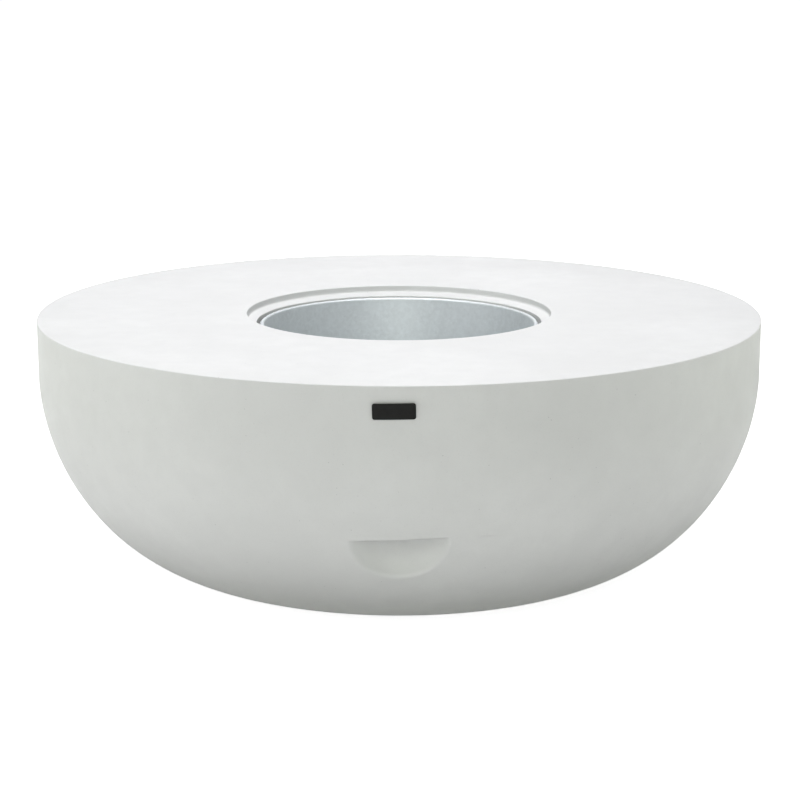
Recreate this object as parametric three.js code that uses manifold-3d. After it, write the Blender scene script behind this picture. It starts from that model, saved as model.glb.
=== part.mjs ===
// Ice bucket coffee table: a round cast bowl table whose top holds a lift-out steel ice bucket.
// Millimetres, +Z up, origin on the ground under the centre of the bowl. The front faces -Y.
import * as THREE from "three";
import { mergeVertices } from "three/addons/utils/BufferGeometryUtils.js";
import Module from "manifold-3d";

const wasm = await Module();
wasm.setup();

// Overall sizes
const tableDiameter = 1000;
const shellHeight = 360;
const baseDiameter = 484;

// Fits that all pieces share
const touchGap = 0.3;
const cutOverrun = 3;

// Steps round a full turn
const bowlSteps = 72;
const bucketSteps = 40;
const drainSteps = 20;
const footSteps = 14;
const eyeSteps = 12;
const wireSides = 8;

// Cast bowl shell: wall, top slab, in-turned foot flange and the arris on its sharp edges
const wallThickness = 12;
const topThickness = 20;
const flangeThickness = 16;
const flangeOpeningRadius = 182;
const bandHeight = 84;
const bandTaper = 0.8;
const upperHandleShares = [0.023, 0.4415];
const lowerHandleShares = [0.629, 0.045];
const edgeArris = 1.5;
const slabFillet = 25;
const outerCurveSteps = 12;
const innerCurveSteps = 7;
const arrisSteps = 3;
const filletSteps = 4;

// Stepped opening in the top: a rebate with a coved foot and a falling ledge, then the bucket seat
const ledgeWidth = 13;
const rebateArris = 1.5;
const rebateWallDepth = 6.2;
const rebateCove = 3.4;
const holeEdgeDepth = 13.4;
const seatDepth = 23;
const collarWidth = 50;
const collarDepth = 44;

// Ribs cast under the top slab
const ribCount = 8;
const ribWidth = 16;
const ribDepthAtWall = 42;
const ribDepthAtMiddle = 15;
const ribFootRise = 2;

// Half-moon hand holds, scooped into the wall at the front and at the back
const scoopHalfWidth = 61;
const scoopHeight = 58;
const scoopDepth = 45;
const scoopLipDrop = 200;
const scoopBacking = 16;
const frontLipTilt = THREE.MathUtils.degToRad(2.3);
const scoopRings = 6;
const scoopSectors = 16;
const scoopMouthShare = 1.1;
const backingRimShare = 0.95;

// Blank plate on the front of the band, on its foam tape
const plateWidth = 53;
const plateHeight = 20;
const plateThickness = 1.5;
const plateCorner = 3;
const plateCentreX = -6;
const plateCentreDrop = 31;
const tapeThickness = 1;
const tapeInset = 2;
const plateTilt = THREE.MathUtils.degToRad(0.85);
const plateColumns = 6;
const plateCornerSteps = 4;

// Rubber pads, their screws and the brass inserts cast into the foot flange
const padCount = 4;
const padThickness = 5;
const padRadius = 20;
const padEdge = 1.2;
const insertRadius = 4.5;
const insertLength = 12;
const screwRadius = 2.7;
const screwReach = 9;
const screwHeadRadius = 6;
const screwHeadHeight = 2.6;
const screwHeadSink = 1;

// Steel ice bucket: spun sheet, rolled rim on a wire, tapered wall, dished floor
const bucketSheet = 0.9;
const bucketMouthRadius = 187.5;
const bucketTaper = 24.5;
const bucketDepth = 190;
const bucketCorner = 22;
const floorFall = 3;
const rimWireRadius = 1.9;
const rimCurlEnd = THREE.MathUtils.degToRad(-110);
const rimCurlSteps = 8;
const rimSideGap = 4.3;
const wallSideGap = 0.7;
const gasketThickness = 2;
const gasketWidth = 7;

// Drain: flanged body, gasket, washer and nut in a pressed recess at the centre of the floor
const drainFlangeRadius = 34;
const drainFlangeThickness = 2;
const drainFlangeEdge = 0.8;
const drainRecessRadius = 36;
const drainRecessRamp = 2.5;
const drainTailRadius = 20;
const drainTailLength = 34;
const drainTailClearance = 0.6;
const drainBore = 16;
const drainSeatRadius = 19;
const drainSeatDepth = 8;
const drainGasketThickness = 1.5;
const drainGasketRadius = 32;
const drainWasherThickness = 3;
const drainWasherRadius = 30;
const drainNutAcrossFlats = 54;
const drainNutSides = 6;
const drainNutThickness = 8;

// Rubber plug with its steel eye and pull ring
const plugLidRadius = 22;
const plugLidThickness = 3;
const plugLidEdge = 0.8;
const plugLength = 9;
const eyeDiscRadius = 6.5;
const eyeDiscThickness = 1.2;
const eyeShankRadius = 2;
const eyeShankLength = 7;
const eyeLugThickness = 2.4;
const eyeLugRadius = 4.2;
const eyeHoleRadius = 1.9;
const eyeHoleHeight = 4.6;
const ringRadius = 13;
const ringWireRadius = 1.3;
const ringRestTilt = THREE.MathUtils.degToRad(11);

// Levels and radii that follow from the sizes above
const tableRadius = tableDiameter / 2;
const baseRadius = baseDiameter / 2;
const baseLevel = padThickness;
const topLevel = baseLevel + shellHeight;
const slabUnderside = topLevel - topThickness;
const seatLevel = topLevel - seatDepth;
const bucketFloorRadius = bucketMouthRadius - bucketTaper;
const rimCurlRadius = rimWireRadius + touchGap + bucketSheet;
const rimCentreRadius = bucketMouthRadius + rimCurlRadius;
const holeRadius = rimCentreRadius + rimCurlRadius + rimSideGap;
const rebateRadius = holeRadius + ledgeWidth;
const seatOpeningRadius = bucketMouthRadius + bucketSheet + wallSideGap;
const rimCentreLevel = seatLevel + gasketThickness + touchGap + rimCurlRadius;
const floorLevel = rimCentreLevel + rimCurlRadius - bucketDepth;
const drainTop = floorLevel - floorFall;
const recessLevel = drainTop - drainFlangeThickness - drainGasketThickness;
const plugTop = drainTop + touchGap + plugLidThickness;

// Materials
const concrete = new THREE.MeshStandardMaterial({ color: 0xdcddd9, roughness: 0.72, metalness: 0 });
const zincSteel = new THREE.MeshStandardMaterial({ color: 0xb4babb, roughness: 0.42, metalness: 0.9 });
const stainless = new THREE.MeshStandardMaterial({ color: 0xc8cacb, roughness: 0.25, metalness: 1 });
const brass = new THREE.MeshStandardMaterial({ color: 0xc2a04e, roughness: 0.35, metalness: 1 });
const rubber = new THREE.MeshStandardMaterial({ color: 0x1c1d1e, roughness: 0.85, metalness: 0 });
const blackPlate = new THREE.MeshStandardMaterial({ color: 0x1b1c1a, roughness: 0.35, metalness: 0.2 });
const foamTape = new THREE.MeshStandardMaterial({ color: 0x2b2b2b, roughness: 0.95, metalness: 0 });

const point = (x, y) => new THREE.Vector2(x, y);

// Points of an arc in a section, from one angle to another, both ends included.
function arc(centre, radius, from, to, steps) {
  const points = [];
  for (let i = 0; i <= steps; i++) {
    const angle = from + ((to - from) * i) / steps;
    points.push(point(centre.x + radius * Math.cos(angle), centre.y + radius * Math.sin(angle)));
  }
  return points;
}

// A closed surface as a solid that can be joined and cut.
function solidOf(geometry) {
  const bare = geometry.clone();
  bare.deleteAttribute("normal");
  bare.deleteAttribute("uv");
  const merged = mergeVertices(bare);
  const vertProperties = merged.attributes.position.array;
  const triVerts = new Uint32Array(merged.index.array);
  return new wasm.Manifold(new wasm.Mesh({ numProp: 3, vertProperties, triVerts }));
}

// The surface of a solid, ready for a mesh.
function geometryOf(solid) {
  const mesh = solid.getMesh();
  const positions = new THREE.BufferAttribute(new Float32Array(mesh.vertProperties), 3);
  const geometry = new THREE.BufferGeometry();
  geometry.setAttribute("position", positions);
  geometry.setIndex(new THREE.BufferAttribute(new Uint32Array(mesh.triVerts), 1));
  const faceted = geometry.toNonIndexed();
  faceted.computeVertexNormals();
  return faceted;
}

// Turns a section of (radius, level) points round the Z axis. The section closes on itself.
function revolve(section, steps) {
  const outline = section.slice();
  if (THREE.ShapeUtils.area(outline) < 0) outline.reverse();
  const turned = new THREE.LatheGeometry([...outline, outline[0].clone()], steps);
  return turned.rotateX(Math.PI / 2);
}

// Gives a sheet path its thickness, to the right of the way the path runs.
function thicken(path, thickness) {
  const other = path.map((p, i) => {
    const before = path[Math.max(i - 1, 0)];
    const after = path[Math.min(i + 1, path.length - 1)];
    const arriving = p.clone().sub(before).normalize();
    const leaving = after.clone().sub(p).normalize();
    if (arriving.length() === 0) arriving.copy(leaving);
    if (leaving.length() === 0) leaving.copy(arriving);
    const along = arriving.clone().add(leaving).normalize();
    const stretch = 1 / along.dot(arriving);
    return point(p.x + along.y * thickness * stretch, p.y - along.x * thickness * stretch);
  });
  return [...path, ...other.reverse()];
}

// A plain ring or tube with square edges.
function ringSection(inner, outer, bottom, top) {
  return [point(inner, bottom), point(outer, bottom), point(outer, top), point(inner, top)];
}

// The curve of the bowl below its upright band, from the band down to the foot.
function bowlCurve() {
  const start = point(tableRadius - bandTaper, topLevel - bandHeight);
  const end = point(baseRadius, baseLevel);
  const width = start.x - end.x;
  const height = start.y - end.y;
  const upper = point(start.x - upperHandleShares[0] * width, start.y - upperHandleShares[1] * height);
  const lower = point(end.x + lowerHandleShares[0] * width, end.y + lowerHandleShares[1] * height);
  return new THREE.CubicBezierCurve(start, upper, lower, end);
}

const wallCurve = bowlCurve();
const wallSamples = wallCurve.getPoints(outerCurveSteps);

// Radius of the outside of the bowl at a level, on the straight runs between its rings.
function outerRadiusAt(level) {
  if (level >= wallSamples[0].y) {
    const share = (topLevel - level) / bandHeight;
    return tableRadius - bandTaper * Math.max(share, 0);
  }
  for (let i = 1; i < wallSamples.length; i++) {
    const above = wallSamples[i - 1];
    const below = wallSamples[i];
    if (level >= below.y) {
      const share = (above.y - level) / (above.y - below.y);
      return above.x + (below.x - above.x) * share;
    }
  }
  return baseRadius;
}

// Inside of the wall: the outer curve moved in by the wall, from the flange up to the slab's fillet.
function innerWall() {
  const points = [];
  for (let i = innerCurveSteps; i >= 0; i--) {
    const t = i / innerCurveSteps;
    const at = wallCurve.getPoint(t);
    const along = wallCurve.getTangent(t);
    const inner = point(at.x + along.y * wallThickness, at.y - along.x * wallThickness);
    if (inner.y > baseLevel + flangeThickness) points.push(inner);
  }
  const corner = point(tableRadius - wallThickness - slabFillet, slabUnderside - slabFillet);
  return [...points, ...arc(corner, slabFillet, 0, Math.PI / 2, filletSteps)];
}

// Section of the whole shell, starting at the top face beside the rebate and running outwards.
function shellSection() {
  const top = topLevel;
  const outerEdge = point(tableRadius - edgeArris, top - edgeArris);
  const rebateEdge = point(rebateRadius + rebateArris, top - rebateArris);
  const cove = point(rebateRadius - rebateCove, top - rebateWallDepth);
  const collarRadius = holeRadius + collarWidth;
  return [
    ...arc(outerEdge, edgeArris, Math.PI / 2, 0, arrisSteps),
    ...wallSamples,
    point(flangeOpeningRadius, baseLevel),
    point(flangeOpeningRadius, baseLevel + flangeThickness),
    ...innerWall(),
    point(collarRadius, slabUnderside),
    point(collarRadius - (collarDepth - topThickness), top - collarDepth),
    point(seatOpeningRadius, top - collarDepth),
    point(seatOpeningRadius, seatLevel),
    point(holeRadius, seatLevel),
    point(holeRadius, top - holeEdgeDepth),
    ...arc(cove, rebateCove, -Math.PI / 2, 0, arrisSteps),
    ...arc(rebateEdge, rebateArris, Math.PI, Math.PI / 2, arrisSteps),
  ];
}

// A half dish that follows the bowl's outside. Its flat side is the lip, at the level given.
// The dish is a half ellipse seen from the front, and its depth into the wall falls off from
// the middle of the lip to nothing at its edge. The face towards the front stands at frontDepth.
function halfDish({ halfWidth, height, depth, lipLevel, tilt, rimShare, frontDepth }) {
  const positions = [];
  const perLayer = 1 + scoopRings * (scoopSectors + 1);
  for (const isBack of [true, false]) {
    const addVertex = (share, angle) => {
      const across = halfWidth * share * Math.cos(angle);
      const down = height * share * Math.sin(angle);
      const x = across * Math.cos(tilt) + down * Math.sin(tilt);
      const z = lipLevel + across * Math.sin(tilt) - down * Math.cos(tilt);
      const inwards = isBack ? depth * (1 - share * share) : frontDepth;
      const radius = outerRadiusAt(z);
      positions.push(x, inwards - Math.sqrt(radius * radius - x * x), z);
    };
    addVertex(0, 0);
    for (let ring = 1; ring <= scoopRings; ring++)
      for (let sector = 0; sector <= scoopSectors; sector++)
        addVertex((rimShare * ring) / scoopRings, (Math.PI * sector) / scoopSectors);
  }
  const at = (layer, ring, sector) =>
    layer * perLayer + (ring === 0 ? 0 : 1 + (ring - 1) * (scoopSectors + 1) + sector);
  const indices = [];
  const addQuad = (a, b, c, d) => {
    if (a !== b && b !== c && a !== c) indices.push(a, b, c);
    if (a !== c && c !== d && a !== d) indices.push(a, c, d);
  };
  for (let ring = 0; ring < scoopRings; ring++) {
    for (let sector = 0; sector < scoopSectors; sector++) {
      const [a, b] = [at(0, ring, sector), at(0, ring + 1, sector)];
      const [c, d] = [at(0, ring + 1, sector + 1), at(0, ring, sector + 1)];
      addQuad(a, b, c, d);
      addQuad(d + perLayer, c + perLayer, b + perLayer, a + perLayer);
    }
    for (const sector of [0, scoopSectors]) {
      const [a, b] = [at(0, ring, sector), at(0, ring + 1, sector)];
      const side = [a, a + perLayer, b + perLayer, b];
      addQuad(...(sector === 0 ? side : side.reverse()));
    }
  }
  for (let sector = 0; sector < scoopSectors; sector++) {
    const [a, b] = [at(0, scoopRings, sector), at(0, scoopRings, sector + 1)];
    addQuad(a, a + perLayer, b + perLayer, b);
  }
  const geometry = new THREE.BufferGeometry();
  geometry.setAttribute("position", new THREE.Float32BufferAttribute(positions, 3));
  geometry.setIndex(indices);
  return geometry;
}

// The hollow of one hand hold, reaching out past the face of the wall.
function scoopCutter(tilt) {
  return halfDish({
    halfWidth: scoopHalfWidth,
    height: scoopHeight,
    depth: scoopDepth,
    lipLevel: topLevel - scoopLipDrop,
    tilt,
    rimShare: scoopMouthShare,
    frontDepth: -(scoopDepth * (scoopMouthShare ** 2 - 1) + cutOverrun),
  });
}

// The bulge behind a hand hold, which keeps the wall's thickness round the hollow.
function scoopBack(tilt) {
  return halfDish({
    halfWidth: scoopHalfWidth + scoopBacking + cutOverrun,
    height: scoopHeight + scoopBacking * 2 + cutOverrun,
    depth: scoopDepth + scoopBacking,
    lipLevel: topLevel - scoopLipDrop + scoopBacking,
    tilt,
    rimShare: backingRimShare,
    frontDepth: cutOverrun,
  });
}

// One rib under the slab, from the collar out into the wall, deeper at the wall.
function rib() {
  const innerEnd = holeRadius + collarWidth - (collarDepth - topThickness);
  const outerEnd = tableRadius - wallThickness / 2;
  const rootLevel = slabUnderside + topThickness / 2;
  const shape = new THREE.Shape();
  shape.moveTo(innerEnd, rootLevel);
  shape.lineTo(innerEnd, topLevel - collarDepth + ribFootRise);
  shape.quadraticCurveTo(
    (innerEnd + outerEnd) / 2,
    slabUnderside - ribDepthAtMiddle,
    outerEnd,
    slabUnderside - ribDepthAtWall,
  );
  shape.lineTo(outerEnd, rootLevel);
  shape.closePath();
  const settings = { depth: ribWidth, bevelEnabled: false, curveSegments: filletSteps };
  const geometry = new THREE.ExtrudeGeometry(shape, settings);
  return geometry.rotateX(Math.PI / 2).translate(0, ribWidth / 2, 0);
}

// Angles of the pads, screws and inserts round the foot flange.
function footAngles() {
  return Array.from({ length: padCount }, (_, i) => ((i + 0.5) * 2 * Math.PI) / padCount);
}

// Places a piece that is made on the Z axis at one of the feet.
function atFoot(geometry, angle) {
  const radius = (flangeOpeningRadius + baseRadius) / 2;
  return geometry.clone().translate(radius * Math.cos(angle), radius * Math.sin(angle), 0);
}

function bowlShell() {
  let shell = solidOf(revolve(shellSection(), bowlSteps));
  for (let i = 0; i < ribCount; i++) {
    const angle = ((i + 0.5) * 2 * Math.PI) / ribCount;
    shell = shell.add(solidOf(rib().rotateZ(angle)));
  }
  const sides = [
    { turn: 0, tilt: frontLipTilt },
    { turn: Math.PI, tilt: 0 },
  ];
  for (const { turn, tilt } of sides) {
    shell = shell.add(solidOf(scoopBack(tilt).rotateZ(turn)));
    shell = shell.subtract(solidOf(scoopCutter(tilt).rotateZ(turn)));
  }
  const holeTop = baseLevel + insertLength + touchGap;
  const hole = revolve(solidRod(insertRadius + touchGap, baseLevel - cutOverrun, holeTop), footSteps);
  for (const angle of footAngles()) shell = shell.subtract(solidOf(atFoot(hole, angle)));
  return geometryOf(shell);
}

// Section of a plain round rod on the axis.
function solidRod(radius, bottom, top) {
  return [point(0, bottom), point(radius, bottom), point(radius, top), point(0, top)];
}

// Columns of a rounded rectangle from left to right: how far across each is, and half its height.
function roundedColumns(width, height, corner) {
  const left = [];
  for (let i = 0; i <= plateCornerSteps; i++) {
    const angle = (i * Math.PI) / 2 / plateCornerSteps;
    const across = -width / 2 + corner * (1 - Math.cos(angle));
    left.push({ across, halfHeight: height / 2 - corner * (1 - Math.sin(angle)) });
  }
  const middle = [];
  for (let i = 1; i < plateColumns; i++) {
    const across = (width - 2 * corner) * (i / plateColumns - 1 / 2);
    middle.push({ across, halfHeight: height / 2 });
  }
  const right = left.map((column) => ({ ...column, across: -column.across })).reverse();
  return [...left, ...middle, ...right];
}

// Joins rings of as many points each into one closed skin, with a flat face on both ends.
function loft(rings) {
  const count = rings[0].length;
  const positions = rings.flat().flatMap((p) => p.toArray());
  const indices = [];
  for (let ring = 0; ring < rings.length - 1; ring++) {
    for (let i = 0; i < count; i++) {
      const [a, b] = [ring * count + i, ring * count + ((i + 1) % count)];
      indices.push(a, b, a + count, b, b + count, a + count);
    }
  }
  const last = (rings.length - 1) * count;
  for (let i = 1; i < count - 1; i++) {
    indices.push(0, i + 1, i);
    indices.push(last, last + i, last + i + 1);
  }
  const geometry = new THREE.BufferGeometry();
  geometry.setAttribute("position", new THREE.Float32BufferAttribute(positions, 3));
  geometry.setIndex(indices);
  return geometry;
}

// A rounded rectangle bent round the band of the bowl, from one distance off the wall to another.
function bentPlate(width, height, corner, near, far) {
  const rings = roundedColumns(width, height, corner).map(({ across, halfHeight }) => {
    const corners = [
      [near, -halfHeight],
      [near, halfHeight],
      [far, halfHeight],
      [far, -halfHeight],
    ];
    return corners.map(([off, up]) => {
      const side = across * Math.cos(plateTilt) - up * Math.sin(plateTilt) + plateCentreX;
      const level = topLevel - plateCentreDrop + across * Math.sin(plateTilt) + up * Math.cos(plateTilt);
      const angle = side / tableRadius;
      const radius = outerRadiusAt(level) + off;
      return new THREE.Vector3(radius * Math.sin(angle), -radius * Math.cos(angle), level);
    });
  });
  return loft(rings);
}

// Rubber pad whose countersink clears the cone of the screw's head by the touching gap.
function footPad() {
  const coneWidth = screwHeadRadius - screwRadius;
  const spread = (touchGap * Math.hypot(coneWidth, screwHeadHeight)) / screwHeadHeight;
  return revolve(
    [
      point(screwRadius + spread, screwHeadSink + screwHeadHeight),
      point(screwHeadRadius + spread, screwHeadSink),
      point(screwHeadRadius + spread, 0),
      point(padRadius - padEdge, 0),
      point(padRadius, padEdge),
      point(padRadius, padThickness),
      point(screwRadius + spread, padThickness),
    ],
    footSteps,
  );
}

function footScrew() {
  return revolve(
    [
      point(0, screwHeadSink),
      point(screwHeadRadius, screwHeadSink),
      point(screwRadius, screwHeadSink + screwHeadHeight),
      point(screwRadius, baseLevel + screwReach),
      point(0, baseLevel + screwReach),
    ],
    footSteps,
  );
}

function footInsert() {
  const section = ringSection(screwRadius + touchGap, insertRadius, baseLevel, baseLevel + insertLength);
  return revolve(section, footSteps);
}

function bucketGasket() {
  const inner = seatOpeningRadius + touchGap;
  const section = ringSection(inner, inner + gasketWidth, seatLevel, seatLevel + gasketThickness);
  return revolve(section, bucketSteps);
}

// Inside face of the bucket, from the drain hole out over the floor, up the wall and round the curl.
function bucketPath() {
  const wallFoot = point(bucketFloorRadius, floorLevel);
  const wallHead = point(bucketMouthRadius, rimCentreLevel);
  const slope = Math.atan2(wallHead.x - wallFoot.x, wallHead.y - wallFoot.y);
  const reach = bucketCorner * Math.tan((Math.PI / 2 - slope) / 2);
  const corner = point(wallFoot.x - reach, floorLevel + bucketCorner);
  const rimCentre = point(rimCentreRadius, rimCentreLevel);
  return [
    point(drainTailRadius + drainTailClearance, recessLevel),
    point(drainRecessRadius, recessLevel),
    point(drainRecessRadius + drainRecessRamp, drainTop),
    ...arc(corner, bucketCorner, -Math.PI / 2, -slope, filletSteps),
    ...arc(rimCentre, rimCurlRadius, Math.PI, rimCurlEnd, rimCurlSteps),
  ];
}

function iceBucket() {
  return revolve(thicken(bucketPath(), bucketSheet), bucketSteps);
}

function rimWire() {
  const torus = new THREE.TorusGeometry(rimCentreRadius, rimWireRadius, wireSides, bucketSteps);
  return torus.rotateZ(-Math.PI / 2).translate(0, 0, rimCentreLevel);
}

function drainBody() {
  const tailEnd = drainTop - drainTailLength;
  const under = drainTop - drainFlangeThickness;
  return revolve(
    [
      point(drainBore, tailEnd),
      point(drainTailRadius, tailEnd),
      point(drainTailRadius, under),
      point(drainFlangeRadius, under),
      point(drainFlangeRadius, drainTop - drainFlangeEdge),
      point(drainFlangeRadius - drainFlangeEdge, drainTop),
      point(drainSeatRadius, drainTop),
      point(drainBore, drainTop - drainSeatDepth),
    ],
    drainSteps,
  );
}

function drainGasket() {
  const top = drainTop - drainFlangeThickness;
  return revolve(
    ringSection(drainTailRadius + touchGap, drainGasketRadius, top - drainGasketThickness, top),
    drainSteps,
  );
}

function drainWasher() {
  const top = recessLevel - bucketSheet;
  return revolve(
    ringSection(drainTailRadius + touchGap, drainWasherRadius, top - drainWasherThickness, top),
    drainSteps,
  );
}

function drainNut() {
  const top = recessLevel - bucketSheet - drainWasherThickness;
  const cornerRadius = drainNutAcrossFlats / 2 / Math.cos(Math.PI / drainNutSides);
  const shape = new THREE.Shape();
  for (let i = 0; i < drainNutSides; i++) {
    const angle = (i * 2 * Math.PI) / drainNutSides;
    const corner = point(cornerRadius * Math.cos(angle), cornerRadius * Math.sin(angle));
    if (i === 0) shape.moveTo(corner.x, corner.y);
    else shape.lineTo(corner.x, corner.y);
  }
  shape.closePath();
  const bore = new THREE.Path();
  bore.absarc(0, 0, drainTailRadius + drainTailClearance, 0, 2 * Math.PI, false);
  shape.holes.push(bore);
  const settings = { depth: drainNutThickness, bevelEnabled: false, curveSegments: drainSteps };
  return new THREE.ExtrudeGeometry(shape, settings).translate(0, 0, top - drainNutThickness);
}

// Taper of the plug: the seat's own cone moved in by the touching gap.
function drainPlug() {
  const lidBottom = drainTop + touchGap;
  const fall = (drainSeatRadius - drainBore) / drainSeatDepth;
  const neck = drainSeatRadius - touchGap * Math.hypot(1, fall);
  const body = revolve(
    [
      point(0, lidBottom - plugLength),
      point(drainBore - touchGap, lidBottom - plugLength),
      point(drainBore - touchGap, drainTop - drainSeatDepth),
      point(neck, drainTop),
      point(neck, lidBottom),
      point(plugLidRadius, lidBottom),
      point(plugLidRadius, plugTop - plugLidEdge),
      point(plugLidRadius - plugLidEdge, plugTop),
      point(0, plugTop),
    ],
    drainSteps,
  );
  const shankHole = solidRod(
    eyeShankRadius + touchGap,
    plugTop - eyeShankLength - touchGap,
    plugTop + cutOverrun,
  );
  return geometryOf(solidOf(body).subtract(solidOf(revolve(shankHole, eyeSteps))));
}

// Steel eye riveted into the plug: a disc with a shank below it and an upright lug with its hole.
function plugEye() {
  const discTop = plugTop + eyeDiscThickness;
  const disc = revolve(
    [
      point(0, plugTop - eyeShankLength),
      point(eyeShankRadius, plugTop - eyeShankLength),
      point(eyeShankRadius, plugTop),
      point(eyeDiscRadius, plugTop),
      point(eyeDiscRadius, discTop),
      point(0, discTop),
    ],
    eyeSteps,
  );
  const lug = new THREE.Shape();
  const root = -eyeHoleHeight - eyeDiscThickness / 2;
  lug.moveTo(-eyeLugRadius, root);
  lug.lineTo(eyeLugRadius, root);
  lug.absarc(0, 0, eyeLugRadius, 0, Math.PI, false);
  lug.closePath();
  const hole = new THREE.Path();
  hole.absarc(0, 0, eyeHoleRadius, 0, 2 * Math.PI, false);
  lug.holes.push(hole);
  const settings = { depth: eyeLugThickness, bevelEnabled: false, curveSegments: eyeSteps };
  const plate = new THREE.ExtrudeGeometry(lug, settings).rotateX(Math.PI / 2);
  plate.translate(0, eyeLugThickness / 2, discTop + eyeHoleHeight);
  return geometryOf(solidOf(disc).add(solidOf(plate)));
}

// Pull ring through the eye, lying towards +X at its rest tilt.
function plugRing() {
  const ring = new THREE.TorusGeometry(ringRadius, ringWireRadius, wireSides, drainSteps);
  const eyeLevel = plugTop + eyeDiscThickness + eyeHoleHeight;
  return ring.translate(ringRadius, 0, 0).rotateY(ringRestTilt).translate(0, 0, eyeLevel);
}

function mesh(name, geometry, material) {
  const made = new THREE.Mesh(geometry, material);
  made.name = name;
  return made;
}

// The cast shell and everything that is fixed to it
function tableBody() {
  const group = new THREE.Group();
  group.add(mesh("bowl_shell", bowlShell(), concrete));
  group.add(mesh("bucket_gasket", bucketGasket(), rubber));
  const tape = bentPlate(
    plateWidth - 2 * tapeInset,
    plateHeight - 2 * tapeInset,
    plateCorner,
    touchGap,
    touchGap + tapeThickness,
  );
  const plateBack = 2 * touchGap + tapeThickness;
  const plate = bentPlate(plateWidth, plateHeight, plateCorner, plateBack, plateBack + plateThickness);
  group.add(mesh("plate_tape", tape, foamTape));
  group.add(mesh("front_plate", plate, blackPlate));
  footAngles().forEach((angle, i) => {
    group.add(mesh(`foot_pad_${i + 1}`, atFoot(footPad(), angle), rubber));
    group.add(mesh(`foot_screw_${i + 1}`, atFoot(footScrew(), angle), stainless));
    group.add(mesh(`foot_insert_${i + 1}`, atFoot(footInsert(), angle), brass));
  });
  return group;
}

// The bucket, which lifts straight out with its drain
function bucketAssembly() {
  const group = new THREE.Group();
  group.add(mesh("ice_bucket", iceBucket(), zincSteel));
  group.add(mesh("rim_wire", rimWire(), stainless));
  group.add(mesh("drain_body", drainBody(), stainless));
  group.add(mesh("drain_gasket", drainGasket(), rubber));
  group.add(mesh("drain_washer", drainWasher(), rubber));
  group.add(mesh("drain_nut", drainNut(), brass));
  return group;
}

// The plug, which lifts out of the drain, and its swinging ring
function plugAssembly() {
  const group = new THREE.Group();
  group.add(mesh("drain_plug", drainPlug(), rubber));
  group.add(mesh("plug_eye", plugEye(), stainless));
  group.add(mesh("plug_ring", plugRing(), stainless));
  return group;
}

const table = new THREE.Group();
table.add(tableBody(), bucketAssembly(), plugAssembly());

export default table;
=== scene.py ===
"""The looks of a round cast bowl table with a lift-out steel ice bucket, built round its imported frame.

Everything is in metres in the frame's own axes: +Z up, the ground at 0, the front towards -Y.
"""

import logging
import math
from collections.abc import Iterator, Sequence
from contextlib import contextmanager
from dataclasses import dataclass, field
from enum import Enum
from functools import cache

import bpy
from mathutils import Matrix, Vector
from mathutils.geometry import interpolate_bezier

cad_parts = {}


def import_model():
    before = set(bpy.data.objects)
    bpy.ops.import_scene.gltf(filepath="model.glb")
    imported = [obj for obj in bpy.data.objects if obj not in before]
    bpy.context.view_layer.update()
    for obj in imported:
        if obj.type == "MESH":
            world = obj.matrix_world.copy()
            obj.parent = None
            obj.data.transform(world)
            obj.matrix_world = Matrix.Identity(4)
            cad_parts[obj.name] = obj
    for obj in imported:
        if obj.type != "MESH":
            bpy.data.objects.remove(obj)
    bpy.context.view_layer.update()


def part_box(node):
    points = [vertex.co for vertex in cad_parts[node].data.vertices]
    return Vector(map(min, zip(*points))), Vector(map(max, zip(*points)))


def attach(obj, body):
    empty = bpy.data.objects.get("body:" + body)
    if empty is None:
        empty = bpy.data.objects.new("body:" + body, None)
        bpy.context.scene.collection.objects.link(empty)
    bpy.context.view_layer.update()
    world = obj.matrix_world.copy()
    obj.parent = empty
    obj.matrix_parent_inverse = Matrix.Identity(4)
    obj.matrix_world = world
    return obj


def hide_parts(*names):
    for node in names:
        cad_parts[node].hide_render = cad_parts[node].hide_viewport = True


log = logging.getLogger("ice_bucket_table")

FULL_TURN = 2 * math.pi
WELD = 0.000003
SMOOTH_ANGLE = math.radians(32)
TOUCH_GAP = 0.0003
CUT_OVERRUN = 0.003
FOOT_COUNT = 4
HEXAGON = 6
# Keeps a divisor off zero
TINY = 1e-9
RELIEF_STRENGTH = 0.3
WHITE = (1.0, 1.0, 1.0, 1.0)
# The two colour inputs of a mix node and its colour output
MIX_COLOUR_SLOTS = (6, 7)
MIX_COLOUR_RESULT = 2


class Side(Enum):
    """The two sides of the bowl that carry a hand hold. The value is the sign of Y there."""

    FRONT = -1
    REAR = 1


class Space(Enum):
    """The coordinates that a pattern is laid out on."""

    SOLID = "solid"
    RINGS = "rings"


@dataclass(frozen=True)
class Corner:
    """One corner of a section: its radius, its level, and the radius that rounds it."""

    radius: float
    level: float
    fillet: float = 0.0

    @property
    def at(self) -> Vector:
        """The corner as a flat vector."""
        return Vector((self.radius, self.level))


def arc(centre: Vector, radius: float, start: float, end: float, steps: int) -> list[Vector]:
    """Points of an arc in a section.

    Args:
        centre: Middle of the arc.
        radius: Its radius.
        start: First angle in radians.
        end: Last angle in radians.
        steps: How many chords it has.

    Returns:
        The points, both ends included.
    """
    angles = (start + (end - start) * i / steps for i in range(steps + 1))
    return [centre + radius * Vector((math.cos(a), math.sin(a))) for a in angles]


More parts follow.
